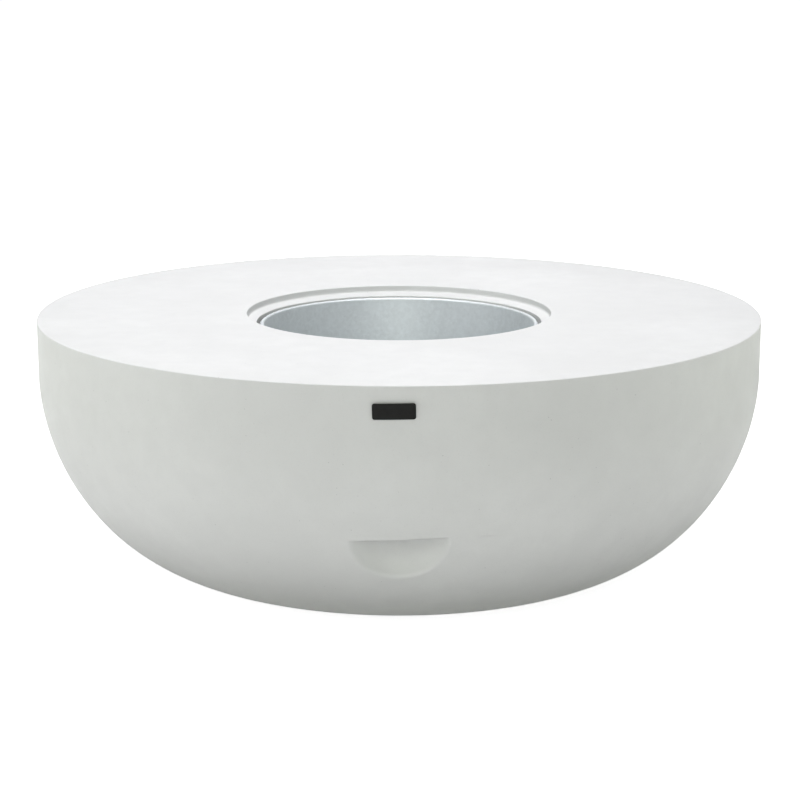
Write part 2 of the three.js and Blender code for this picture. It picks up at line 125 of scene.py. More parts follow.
def rounded(corners: Sequence[Corner], steps: int = 4, closed: bool = True) -> list[Vector]:
    """Turns the corners of a section into points, with each fillet as an arc.

    Args:
        corners: The corners in order.
        steps: Chords of each arc.
        closed: Whether the last corner joins the first. The ends of an open section stay sharp.

    Returns:
        The points of the section.
    """
    points = []
    for i, corner in enumerate(corners):
        is_end = not closed and i in (0, len(corners) - 1)
        if is_end or corner.fillet == 0:
            points.append(corner.at)
            continue
        back = (corners[i - 1].at - corner.at).normalized()
        ahead = (corners[(i + 1) % len(corners)].at - corner.at).normalized()
        half = back.angle(ahead) / 2
        centre = corner.at + (back + ahead).normalized() * (corner.fillet / math.sin(half))
        reach = corner.fillet / math.tan(half)
        first = corner.at + back * reach - centre
        last = corner.at + ahead * reach - centre
        start = math.atan2(first.y, first.x)
        turn = (math.atan2(last.y, last.x) - start + math.pi) % FULL_TURN - math.pi
        points += arc(centre, corner.fillet, start, start + turn, steps)
    return points


def deselect() -> None:
    """Deselects every object."""
    bpy.ops.object.select_all(action="DESELECT")


def activate(piece: bpy.types.Object) -> None:
    """Makes one object the only selected one, and the active one."""
    deselect()
    piece.select_set(True)
    bpy.context.view_layer.objects.active = piece


@contextmanager
def editing(piece: bpy.types.Object, mode: str = "VERT") -> Iterator[None]:
    """Edit mode on one object, with nothing selected in it.

    Args:
        piece: The object to edit.
        mode: What can be selected: VERT, EDGE or FACE.
    """
    activate(piece)
    bpy.ops.object.mode_set(mode="EDIT")
    bpy.ops.mesh.select_mode(type=mode)
    bpy.ops.mesh.select_all(action="DESELECT")
    try:
        yield
    finally:
        bpy.ops.object.mode_set(mode="OBJECT")


def named(name: str) -> bpy.types.Object:
    """Names the primitive that was just added, and its mesh, and returns it."""
    piece = bpy.context.object
    piece.name = name
    piece.data.name = name
    return piece


def smooth(piece: bpy.types.Object, angle: float = SMOOTH_ANGLE) -> None:
    """Shades an object smooth, with edges sharper than the angle left crisp."""
    activate(piece)
    bpy.ops.object.shade_smooth_by_angle(angle=angle)


def apply_place(piece: bpy.types.Object) -> None:
    """Moves an object's place, turn and scale into its mesh."""
    activate(piece)
    bpy.ops.object.transform_apply(location=True, rotation=True, scale=True)


def apply_modifier(piece: bpy.types.Object, kind: str, **settings: object) -> None:
    """Adds a modifier, sets it up and applies it.

    Args:
        piece: The object.
        kind: The modifier's type, such as SOLIDIFY.
        settings: Its settings by name.
    """
    activate(piece)
    modifier = piece.modifiers.new(kind.title(), kind)
    for key, value in settings.items():
        setattr(modifier, key, value)
    bpy.ops.object.modifier_apply(modifier=modifier.name)


def combine(piece: bpy.types.Object, others: Sequence[bpy.types.Object], operation: str) -> None:
    """Joins other solids to a solid, or cuts them out of it, and removes them.

    Args:
        piece: The solid that is kept.
        others: The solids that join or cut it.
        operation: UNION, DIFFERENCE or INTERSECT.
    """
    for other in others:
        apply_modifier(piece, "BOOLEAN", object=other, operation=operation, solver="MANIFOLD")
        bpy.data.objects.remove(other)


def join(pieces: Sequence[bpy.types.Object], name: str) -> bpy.types.Object:
    """Joins several objects into the first, without merging their solids.

    Args:
        pieces: The objects.
        name: Name of the result.

    Returns:
        The joined object.
    """
    activate(pieces[0])
    for piece in pieces[1:]:
        piece.select_set(True)
    bpy.ops.object.join()
    return named(name)


def copy_of(piece: bpy.types.Object, name: str) -> bpy.types.Object:
    """Copies an object with a mesh of its own.

    Args:
        piece: The object to copy.
        name: Name of the copy.

    Returns:
        The copy.
    """
    twin = piece.copy()
    twin.data = piece.data.copy()
    bpy.context.scene.collection.objects.link(twin)
    twin.name = name
    twin.data.name = name
    return twin


def section(name: str, points: Sequence[Vector], closed: bool) -> bpy.types.Object:
    """Lays the ring of vertices of a circle on a section, in the plane that looks to the front.

    Args:
        name: Name of the object.
        points: Radius and level of each point.
        closed: Whether the last point joins the first.

    Returns:
        The object, which has only vertices and edges.
    """
    deselect()
    bpy.ops.mesh.primitive_circle_add(vertices=len(points), radius=1)
    piece = named(name)
    for vertex, point in zip(piece.data.vertices, points):
        vertex.co = (0, -point.x, point.y)
    if not closed:
        ends = {0, len(points) - 1}
        with editing(piece, "EDGE"):
            bpy.ops.object.mode_set(mode="OBJECT")
            for edge in piece.data.edges:
                edge.select = set(edge.vertices) == ends
            bpy.ops.object.mode_set(mode="EDIT")
            bpy.ops.mesh.delete(type="EDGE")
    return piece


def spin(piece: bpy.types.Object, angle: float, steps: int) -> None:
    """Spins all of a section about the Z axis. The turn runs clockwise, seen from above.

    Args:
        piece: The section.
        angle: How far it turns.
        steps: In how many steps.
    """
    with editing(piece):
        bpy.ops.mesh.select_all(action="SELECT")
        bpy.ops.mesh.spin(steps=steps, angle=angle, center=(0, 0, 0), axis=(0, 0, 1))


def weld(piece: bpy.types.Object) -> None:
    """Merges a mesh's doubles and points its faces out."""
    with editing(piece):
        bpy.ops.mesh.select_all(action="SELECT")
        bpy.ops.mesh.remove_doubles(threshold=WELD)
        bpy.ops.mesh.normals_make_consistent(inside=False)


def lathe(name: str, points: Sequence[Vector], steps: int, closed: bool = True) -> bpy.types.Object:
    """Spins a section all the way round the Z axis.

    Args:
        name: Name of the object.
        points: Radius and level of each point of the section.
        steps: Steps of the full turn.
        closed: Whether the section closes on itself.

    Returns:
        The turned object, its doubles merged and its faces pointing out.
    """
    piece = section(name, points, closed)
    spin(piece, FULL_TURN, steps)
    weld(piece)
    return piece


def extruded(name: str, points: Sequence[Vector], thickness: float) -> bpy.types.Object:
    """Fills an outline in the plane that looks to the front and gives it a thickness about that plane.

    Args:
        name: Name of the object.
        points: Distance from the Z axis towards the front, and level, of each point.
        thickness: Its thickness along X.

    Returns:
        The solid.
    """
    piece = section(name, points, closed=True)
    with editing(piece):
        bpy.ops.mesh.select_all(action="SELECT")
        bpy.ops.mesh.edge_face_add()
        bpy.ops.mesh.extrude_region_move(TRANSFORM_OT_translate={"value": (thickness, 0, 0)})
        bpy.ops.mesh.select_all(action="SELECT")
        bpy.ops.transform.translate(value=(-thickness / 2, 0, 0))
        bpy.ops.mesh.normals_make_consistent(inside=False)
    return piece


def rod(name: str, radius: float, bottom: float, top: float, sides: int) -> bpy.types.Object:
    """An upright prism on the Z axis, which cuts a bore or a socket.

    Args:
        name: Name of the object.
        radius: Distance of its corners from the axis.
        bottom: Its lowest level.
        top: Its highest level.
        sides: How many sides it has.

    Returns:
        The solid.
    """
    deselect()
    middle = (0, 0, (bottom + top) / 2)
    bpy.ops.mesh.primitive_cylinder_add(vertices=sides, radius=radius, depth=top - bottom, location=middle)
    piece = named(name)
    apply_place(piece)
    return piece


def hoop(name: str, radius: float, wire: float, steps: int, sides: int) -> bpy.types.Object:
    """A ring of round wire about the Z axis at level 0.

    Args:
        name: Name of the object.
        radius: Radius of the wire's middle line.
        wire: Radius of the wire.
        steps: Steps round the ring.
        sides: Steps round the wire.

    Returns:
        The ring.
    """
    deselect()
    bpy.ops.mesh.primitive_torus_add(
        major_radius=radius, minor_radius=wire, major_segments=steps, minor_segments=sides
    )
    return named(name)


def bevelled(piece: bpy.types.Object, width: float, segments: int = 3) -> None:
    """Rounds a solid's sharp edges."""
    apply_modifier(
        piece, "BEVEL", width=width, segments=segments, limit_method="ANGLE", angle_limit=SMOOTH_ANGLE
    )


def turned(piece: bpy.types.Object, angle: float) -> bpy.types.Object:
    """Turns an object about the Z axis through the origin, and applies the turn."""
    piece.rotation_euler.z = angle
    apply_place(piece)
    return piece


def moved(piece: bpy.types.Object, offset: Vector) -> bpy.types.Object:
    """Moves an object by an offset and applies the move."""
    piece.location = offset
    apply_place(piece)
    return piece


@dataclass(frozen=True)
class Thread:
    """A screw thread: radius of its crests, depth, pitch, level where it starts, and its turns."""

    radius: float
    depth: float
    pitch: float
    bottom: float
    turns: int
    steps: int = 40
    flank_share: float = 0.4
    crest_share: float = 0.1
    sunk_share: float = 0.15

    @property
    def core(self) -> float:
        """Radius of the bare rod that carries the thread."""
        return self.radius - self.depth

    def cut_on(self, piece: bpy.types.Object) -> None:
        """Winds the thread's ridge round a turned piece and joins the two."""
        foot = self.core - self.pitch * self.sunk_share
        rise = self.flank_share * self.pitch
        crest = self.crest_share * self.pitch
        points = [
            Vector((foot, self.bottom)),
            Vector((self.radius, self.bottom + rise)),
            Vector((self.radius, self.bottom + rise + crest)),
            Vector((foot, self.bottom + 2 * rise + crest)),
        ]
        ridge = section("thread", points, closed=True)
        apply_modifier(
            ridge,
            "SCREW",
            axis="Z",
            screw_offset=self.pitch,
            iterations=self.turns,
            steps=self.steps,
            render_steps=self.steps,
        )
        with editing(ridge):
            bpy.ops.mesh.select_non_manifold(use_wire=False, use_multi_face=False, use_non_contiguous=False)
            bpy.ops.mesh.fill_holes(sides=0)
            bpy.ops.mesh.select_all(action="SELECT")
            bpy.ops.mesh.normals_make_consistent(inside=False)
        combine(piece, [ridge], "UNION")


@dataclass(frozen=True)
class Turned:
    """Axis, radius and levels of a round node, read from its box in the frame."""

    axis: Vector
    radius: float
    bottom: float
    top: float

    @classmethod
    def of(cls, node: str) -> "Turned":
        """Measures a node. Its corners or flats lie on both sides along Y, so its width there is true."""
        low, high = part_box(node)
        axis = Vector(((low.x + high.x) / 2, (low.y + high.y) / 2, 0))
        return cls(axis, (high.y - low.y) / 2, low.z, high.z)


def flat_ring(name: str, node: str, inner: float, edge: float, steps: int) -> bpy.types.Object:
    """A flat ring with round edges.

    Args:
        name: Name of the object.
        node: The node that it stands for, which gives its radius and levels.
        inner: Radius of its hole.
        edge: Radius of its edges.
        steps: Steps of the full turn.

    Returns:
        The ring.
    """
    ring = Turned.of(node)
    at = ((inner, ring.bottom), (ring.radius, ring.bottom), (ring.radius, ring.top), (inner, ring.top))
    piece = lathe(name, rounded([Corner(*p, edge) for p in at]), steps)
    smooth(piece)
    return piece


Socket = bpy.types.NodeSocket
Value = Socket | float | tuple[float, ...]
Colour = tuple[float, float, float]


@dataclass(frozen=True)
class Noise:
    """Soft noise: cells for each metre, octaves, how strong the fine ones are, and its coordinates."""

    scale: float
    detail: float = 3
    rough: float = 0.6
    space: Space = Space.SOLID


@dataclass(frozen=True)
class Layer:
    """How a pattern tints a surface: the span of it that shows, the tone it brings, and its strength."""

    span: tuple[float, float]
    tone: float
    strength: float = 1


def toned(colour: Colour, factor: float) -> Colour:
    """A colour made lighter or darker by a factor."""
    return tuple(min(1.0, part * factor) for part in colour)


class NodeGraph:
    """The nodes of a material or of the world, with short calls that add to them."""

    def __init__(self, owner: bpy.types.Material | bpy.types.World) -> None:
        """Turns the owner's nodes on."""
        owner.use_nodes = True
        self.nodes = owner.node_tree.nodes
        self.links = owner.node_tree.links

    def add(self, kind: str, inputs: dict[str | int, Value] | None = None, **settings: str) -> bpy.types.Node:
        """Adds a node.

        Args:
            kind: The node's type, without the words that all types start with.
            inputs: What its sockets get: a plain value, or the socket that is linked to them.
            settings: Its settings by name.

        Returns:
            The node.
        """
        node = self.nodes.new(f"ShaderNode{kind}")
        for name, setting in settings.items():
            setattr(node, name, setting)
        for slot, value in (inputs or {}).items():
            if isinstance(value, Socket):
                self.links.new(value, node.inputs[slot])
            else:
                node.inputs[slot].default_value = value
        return node

    def math(self, operation: str, *inputs: Value) -> Socket:
        """The result of a math operation on sockets or plain numbers."""
        return self.add("Math", dict(enumerate(inputs)), operation=operation).outputs[0]

    def ranged(self, value: Socket, source: tuple[float, float], target: tuple[float, float]) -> Socket:
        """Maps a value from the source range to the target range, clamped."""
        ends = zip(("From Min", "From Max", "To Min", "To Max"), (*source, *target))
        return self.add("MapRange", {"Value": value, **dict(ends)}).outputs["Result"]

    def seen_directly(self) -> Socket:
        """Reads the kind of ray.

        Returns:
            The socket of a value that is 1 for camera, glossy and transmission rays, and 0 for the rest.
        """
        rays = self.add("LightPath").outputs
        seen = rays["Is Camera Ray"]
        for kind in ("Is Glossy Ray", "Is Transmission Ray"):
            seen = self.math("MAXIMUM", seen, rays[kind])
        return seen


class ShaderGraph(NodeGraph):
    """A new material's principled shader, and the patterns in front of it."""

    def __init__(self, name: str) -> None:
        """Starts a material of that name."""
        self.material = bpy.data.materials.new(name)
        super().__init__(self.material)
        self.shader = self.nodes["Principled BSDF"]
        self.object_place = self.add("TexCoord").outputs["Object"]

    def set(self, **values: float) -> None:
        """Sets plain values on the shader's own sockets, named with _ for a space."""
        for name, value in values.items():
            self.shader.inputs[name.replace("_", " ")].default_value = value

    def drive(self, socket: str, source: Socket) -> None:
        """Links a pattern to one of the shader's sockets."""
        self.links.new(source, self.shader.inputs[socket])

    def space(self, kind: Space) -> Socket:
        """The coordinates of a pattern.

        Args:
            kind: SOLID reads the object's own space. RINGS reads the distance from the Z axis and the level.

        Returns:
            The vector's socket.
        """
        if kind is Space.SOLID:
            return self.object_place
        x, y, level = self.add("SeparateXYZ", {0: self.object_place}).outputs
        squares = (self.math("POWER", part, 2.0) for part in (x, y))
        radius = self.math("SQRT", self.math("ADD", *squares))
        return self.add("CombineXYZ", {"X": radius, "Z": level}).outputs[0]

    def noise(self, noise: Noise) -> Socket:
        """The value of soft noise, from 0 to 1."""
        numbers = {"Scale": noise.scale, "Detail": noise.detail, "Roughness": noise.rough}
        return self.add("TexNoise", {"Vector": self.space(noise.space), **numbers}).outputs["Fac"]

    def cells(self, scale: float, output: str) -> Socket:
        """A pattern of cells, so many for each metre, read from its output Distance or Color."""
        return self.add("TexVoronoi", {"Scale": scale, "Vector": self.object_place}).outputs[output]

    def tint(self, factor: Socket, first: Value, second: Value) -> Socket:
        """Mixes two colours.

        Args:
            factor: 0 gives the first and 1 the second.
            first: A colour or its socket.
            second: A colour or its socket.

        Returns:
            The mixed colour's socket.
        """
        ends = [end if isinstance(end, Socket) else (*end, 1) for end in (first, second)]
        inputs = {0: factor, **dict(zip(MIX_COLOUR_SLOTS, ends))}
        return self.add("Mix", inputs, data_type="RGBA").outputs[MIX_COLOUR_RESULT]

    def layered(self, base: Value, colour: Colour, pattern: Socket, layer: Layer) -> tuple[Socket, Socket]:
        """Tints a surface with a pattern, and returns how strongly it shows and the new colour."""
        shown = self.ranged(pattern, layer.span, (0, layer.strength))
        return shown, self.tint(shown, base, toned(colour, layer.tone))

    def bump(self, height: Socket, depth: float, strength: float = RELIEF_STRENGTH) -> None:
        """Presses a height pattern into the surface, to a depth in metres."""
        inputs = {"Distance": depth, "Strength": strength, "Height": height}
        self.drive("Normal", self.add("Bump", inputs).outputs["Normal"])


@dataclass(frozen=True)
class Finish:
    """A surface finish: its name, which is also its material's name, and its own colour."""

    name: str
    colour: Colour

    def material(self) -> bpy.types.Material:
        """Builds the finish's material."""
        raise NotImplementedError

    def dress(self, piece: bpy.types.Object) -> None:
        """Gives a piece this finish in each of its material slots."""
        made = built_material(self)
        if piece.material_slots:
            for place in piece.material_slots:
                place.material = made
        else:
            piece.data.materials.append(made)


@cache
def built_material(finish: Finish) -> bpy.types.Material:
    """Builds each finish's material once."""
    return finish.material()


@dataclass(frozen=True)
class ConcreteFinish(Finish):
    """Sealed cast concrete: cloudy, finely speckled, with a few pinholes in groups."""

    base_tone: float = 0.965
    cloud_noise: Noise = Noise(4.5, 4, 0.5)
    clouds: Layer = Layer((0.36, 0.64), 1.02)
    mottle_noise: Noise = Noise(30, 4)
    mottle: Layer = Layer((0.35, 0.65), 0.93, 0.3)
    grain_noise: Noise = Noise(520, 2)
    grain: Layer = Layer((0.6, 0.78), 0.72, 0.22)
    pinhole_scale: float = 95
    pinhole_share: float = 0.085
    pinhole_tone: float = 0.6
    group_noise: Noise = Noise(30, 1, 0.5)
    group_span: tuple[float, float] = (0.52, 0.6)
    roughness: tuple[float, float] = (0.6, 0.7)
    ripple_noise: Noise = Noise(90, 3, 0.55)
    ripple_height: float = 0.6
    grain_height: float = 0.12
    pinhole_height: float = 2.0
    relief: float = 0.0004
    specular: float = 0.25

    def material(self) -> bpy.types.Material:
        """Builds the concrete."""
        graph = ShaderGraph(self.name)
        base = toned(self.colour, self.base_tone)
        _, base = graph.layered(base, self.colour, graph.noise(self.cloud_noise), self.clouds)
        mottle, base = graph.layered(base, self.colour, graph.noise(self.mottle_noise), self.mottle)
        grain = graph.noise(self.grain_noise)
        _, base = graph.layered(base, self.colour, grain, self.grain)
        near = graph.ranged(graph.cells(self.pinhole_scale, "Distance"), (0, self.pinhole_share), (1, 0))
        group = graph.ranged(graph.noise(self.group_noise), self.group_span, (0, 1))
        hole = graph.math("MULTIPLY", near, group)
        graph.drive("Base Color", graph.tint(hole, base, toned(self.colour, self.pinhole_tone)))
        graph.drive("Roughness", graph.ranged(mottle, (0, self.mottle.strength), self.roughness))
        ripple = graph.math("MULTIPLY", graph.noise(self.ripple_noise), self.ripple_height)
        height = graph.math("ADD", graph.math("MULTIPLY", grain, self.grain_height), ripple)
        sunk = graph.math("MULTIPLY", hole, self.pinhole_height)
        graph.bump(graph.math("SUBTRACT", height, sunk), self.relief)
        graph.set(Specular_IOR_Level=self.specular)
        return graph.material


@dataclass(frozen=True)
class ZincFinish(Finish):
    """Spun steel sheet with its dull zinc coat: fine grey mottling, faint flakes and spinning lines."""

    base_tone: float = 0.9
    mottle_noise: Noise = Noise(190)
    mottle: Layer = Layer((0.3, 0.7), 1.06)
    cloud_noise: Noise = Noise(16, 4)
    clouds: Layer = Layer((0.3, 0.7), 1.04, 0.5)
    flake_scale: float = 150
    flakes: Layer = Layer((0.2, 0.9), 0.78, 0.22)
    line_noise: Noise = Noise(900, 2, 0.5, Space.RINGS)
    mottle_share: float = 0.6
    roughness: tuple[float, float] = (0.48, 0.64)
    mottle_height: float = 0.5
    relief: float = 0.0001
    metallic: float = 0.6

    def material(self) -> bpy.types.Material:
        """Builds the zinc coat."""
        graph = ShaderGraph(self.name)
        base = toned(self.colour, self.base_tone)
        mottle, base = graph.layered(base, self.colour, graph.noise(self.mottle_noise), self.mottle)
        _, base = graph.layered(base, self.colour, graph.noise(self.cloud_noise), self.clouds)
        _, base = graph.layered(base, self.colour, graph.cells(self.flake_scale, "Color"), self.flakes)
        graph.drive("Base Color", base)
        lines = graph.noise(self.line_noise)
        shares = ((mottle, self.mottle_share), (lines, 1 - self.mottle_share))
        mixed = graph.math("ADD", *(graph.math("MULTIPLY", *pair) for pair in shares))
        graph.drive("Roughness", graph.ranged(mixed, (0, 1), self.roughness))
        graph.bump(graph.math("ADD", lines, graph.math("MULTIPLY", mottle, self.mottle_height)), self.relief)
        graph.set(Metallic=self.metallic)
        return graph.material


@dataclass(frozen=True)
class SteelFinish(Finish):
    """Turned stainless steel, with fine rings about the axis."""

    base_tone: float = 0.92
    haze_noise: Noise = Noise(120)
    haze: Layer = Layer((0.35, 0.65), 1)
    line_noise: Noise = Noise(1500, 2, 0.5, Space.RINGS)
    line_span: tuple[float, float] = (0.3, 0.7)
    roughness: tuple[float, float] = (0.2, 0.34)
    relief: float = 0.00005

    def material(self) -> bpy.types.Material:
        """Builds the steel."""
        graph = ShaderGraph(self.name)
        base = toned(self.colour, self.base_tone)
        _, base = graph.layered(base, self.colour, graph.noise(self.haze_noise), self.haze)
        graph.drive("Base Color", base)
        lines = graph.noise(self.line_noise)
        graph.drive("Roughness", graph.ranged(lines, self.line_span, self.roughness))
        graph.bump(lines, self.relief)
        graph.set(Metallic=1.0)
        return graph.material


@dataclass(frozen=True)
class HazyFinish(Finish):
    """An even surface with a soft haze of another tone, rougher where it lies, and a fine grain."""

    haze_noise: Noise
    haze: Layer
    roughness: tuple[float, float]
    grain_noise: Noise
    relief: float
    metallic: float = 0.0
    specular: float = 0.5

    def material(self) -> bpy.types.Material:
        """Builds the surface."""
        graph = ShaderGraph(self.name)
        haze, base = graph.layered(self.colour, self.colour, graph.noise(self.haze_noise), self.haze)
        graph.drive("Base Color", base)
        graph.drive("Roughness", graph.ranged(haze, (0, 1), self.roughness))
        graph.bump(graph.noise(self.grain_noise), self.relief)
        graph.set(Metallic=self.metallic, Specular_IOR_Level=self.specular)
        return graph.material


@dataclass(frozen=True)
class FoamFinish(Finish):
    """Closed-cell foam tape."""

    cell_scale: float = 1600
    cell_tone: float = 2.2
    roughness: tuple[float, float] = (0.8, 0.95)
    relief: float = 0.0002
    relief_strength: float = 0.5

    def material(self) -> bpy.types.Material:
        """Builds the foam."""
        graph = ShaderGraph(self.name)
        cells = graph.cells(self.cell_scale, "Distance")
        graph.drive("Base Color", graph.tint(cells, self.colour, toned(self.colour, self.cell_tone)))
        graph.drive("Roughness", graph.ranged(cells, (0, 1), self.roughness))
        graph.bump(cells, self.relief, self.relief_strength)
        return graph.material


CONCRETE = ConcreteFinish("cast_concrete", (0.80, 0.81, 0.79))
ZINC = ZincFinish("zinc_coated_steel", (0.58, 0.615, 0.625))
STAINLESS = SteelFinish("stainless_steel", (0.62, 0.63, 0.64))
FOAM = FoamFinish("foam_tape", (0.03, 0.03, 0.03))
# Turned brass, a little dulled
BRASS = HazyFinish(
    "brass",
    (0.6, 0.42, 0.15),
    haze_noise=Noise(150, 4),
    haze=Layer((0.35, 0.65), 0.7),
    roughness=(0.26, 0.46),
    grain_noise=Noise(1400, 2, 0.5, Space.RINGS),
    relief=0.00005,
    metallic=1.0,
)
# Moulded rubber with a fine bloom
RUBBER = HazyFinish(
    "black_rubber",
    (0.02, 0.02, 0.02),
    haze_noise=Noise(90, 4),
    haze=Layer((0.4, 0.7), 1.9),
    roughness=(0.62, 0.82),
    grain_noise=Noise(1100, 2),
    relief=0.0001,
)
# The plate's coat, nearly matt
BLACK_PLATE = HazyFinish(
    "black_plate",
    (0.007, 0.007, 0.0065),
    haze_noise=Noise(160),
    haze=Layer((0.35, 0.65), 1.5),
    roughness=(0.42, 0.52),
    grain_noise=Noise(2200, 2, 0.5),
    relief=0.00004,
    specular=0.12,
)


def place(piece: bpy.types.Object, body: str, node: str, finish: Finish) -> None:
    """Puts a finished piece on its body, in the place of its node, with its finish.

    Args:
        piece: The piece.
        body: The body that it moves with.
        node: The node that it stands for.
        finish: Its finish.
    """
    finish.dress(piece)
    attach(piece, body)
    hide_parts(node)
    log.info("%s: %d faces", piece.name, len(piece.data.polygons))


def soft_positive(value: float, blend: float) -> float:
    """The value where it is positive and 0 where it isn't, with a soft turn between the two.

    Args:
        value: The value.
        blend: How far from 0 the turn reaches on each side.

    Returns:
        The softened value.
    """
    if value >= blend:
        return value
    if value <= -blend:
        return 0.0
    return (value + blend) ** 2 / (4 * blend)


@dataclass(frozen=True)
class HandHold:
    """A half-moon hollow in the wall, with a crisp lip above and a soft edge below."""

    side: Side
    lip_level: float
    tilt: float
    half_width: float = 0.061
    height: float = 0.058
    depth: float = 0.045
    edge_blend: float = 0.13
    lip_arris: float = 0.0012
    corner_fillet: float = 0.006
    most_arris_share: float = 0.3
    most_fillet_share: float = 0.5
    backing: float = 0.016
    backing_blend: float = 0.003
    ledge_rise: float = 0.004
    tilt_reach: float = 0.1

    @property
    def bulge_half_width(self) -> float:
        """Half the width of the bulge behind the hollow, where it would come out of the wall."""
        return self.half_width + self.backing + CUT_OVERRUN

    def local(self, x: float, level: float) -> tuple[float, float]:
        """Distance across and down from the middle of the lip, along and square to the lip."""
        rise = level - self.lip_level
        across = x * math.cos(self.tilt) + rise * math.sin(self.tilt)
        down = x * math.sin(self.tilt) - rise * math.cos(self.tilt)
        return across, down

    def hollow(self, across: float, down: float) -> float:
        """Depth of the hollow at a place below the lip."""
        share = (across / self.half_width) ** 2 + (max(down, 0) / self.height) ** 2
        return self.depth * soft_positive(1 - share, self.edge_blend)

    def bulge(self, x: float, level: float, plain: float) -> float:
        """How far the inside of the wall stands in behind the hollow.

        Args:
            x: Distance from the middle of the hand hold.
            level: Height above the ground.
            plain: Thickness of the wall there without the bulge.

        Returns:
            How far the bulge stands in from the plain wall.
        """
        across, down = self.local(x, level - self.backing)
        height = self.height + 2 * self.backing + CUT_OVERRUN
        share = (across / self.bulge_half_width) ** 2 + (max(down, 0) / height) ** 2
        fade = min(max(1 + down / self.ledge_rise, 0), 1)
        dish = (self.depth + self.backing) * (1 - share)
        return soft_positive(dish - plain, self.backing_blend) * fade

    def levelled(self, x: float, level: float) -> float:
        """A level moved so that the row of the lip follows the lip's tilt."""
        away = max(abs(x) - self.half_width, abs(level - self.lip_level) - self.height, 0)
        fade = max(0.0, 1 - away / self.tilt_reach)
        return level + x * math.tan(self.tilt) * fade * fade * (3 - 2 * fade)

    def lip_profile(self, across: float, row: int, rows: int) -> tuple[float, float]:
        """Place of one row of the lip: its arris, the hollow's ceiling and the fillet at its back.

        Args:
            across: Distance from the middle of the lip.
            row: Number of the row, from the face inwards.
            rows: How many rows the lip has.

        Returns:
            How far in and how far down the row lies.
        """
        depth = self.hollow(across, 0)
        arris = min(self.lip_arris, depth * self.most_arris_share)
        fillet = min(self.corner_fillet, depth * self.most_fillet_share)
        third = rows // 3
        if row < third:
            angle = math.pi / 2 * row / (third - 1)
            return arris * (1 - math.cos(angle)), -arris * (1 - math.sin(angle))
        if row < rows - third:
            share = (row - third + 1) / (rows - 2 * third + 1)
            return arris + (depth - fillet - arris) * share, 0.0
        angle = math.pi / 2 * (row - rows + third) / (third - 1)
        down = fillet * (1 - math.cos(angle))
        return self.hollow(across, down) - fillet * (1 - math.sin(angle)), down


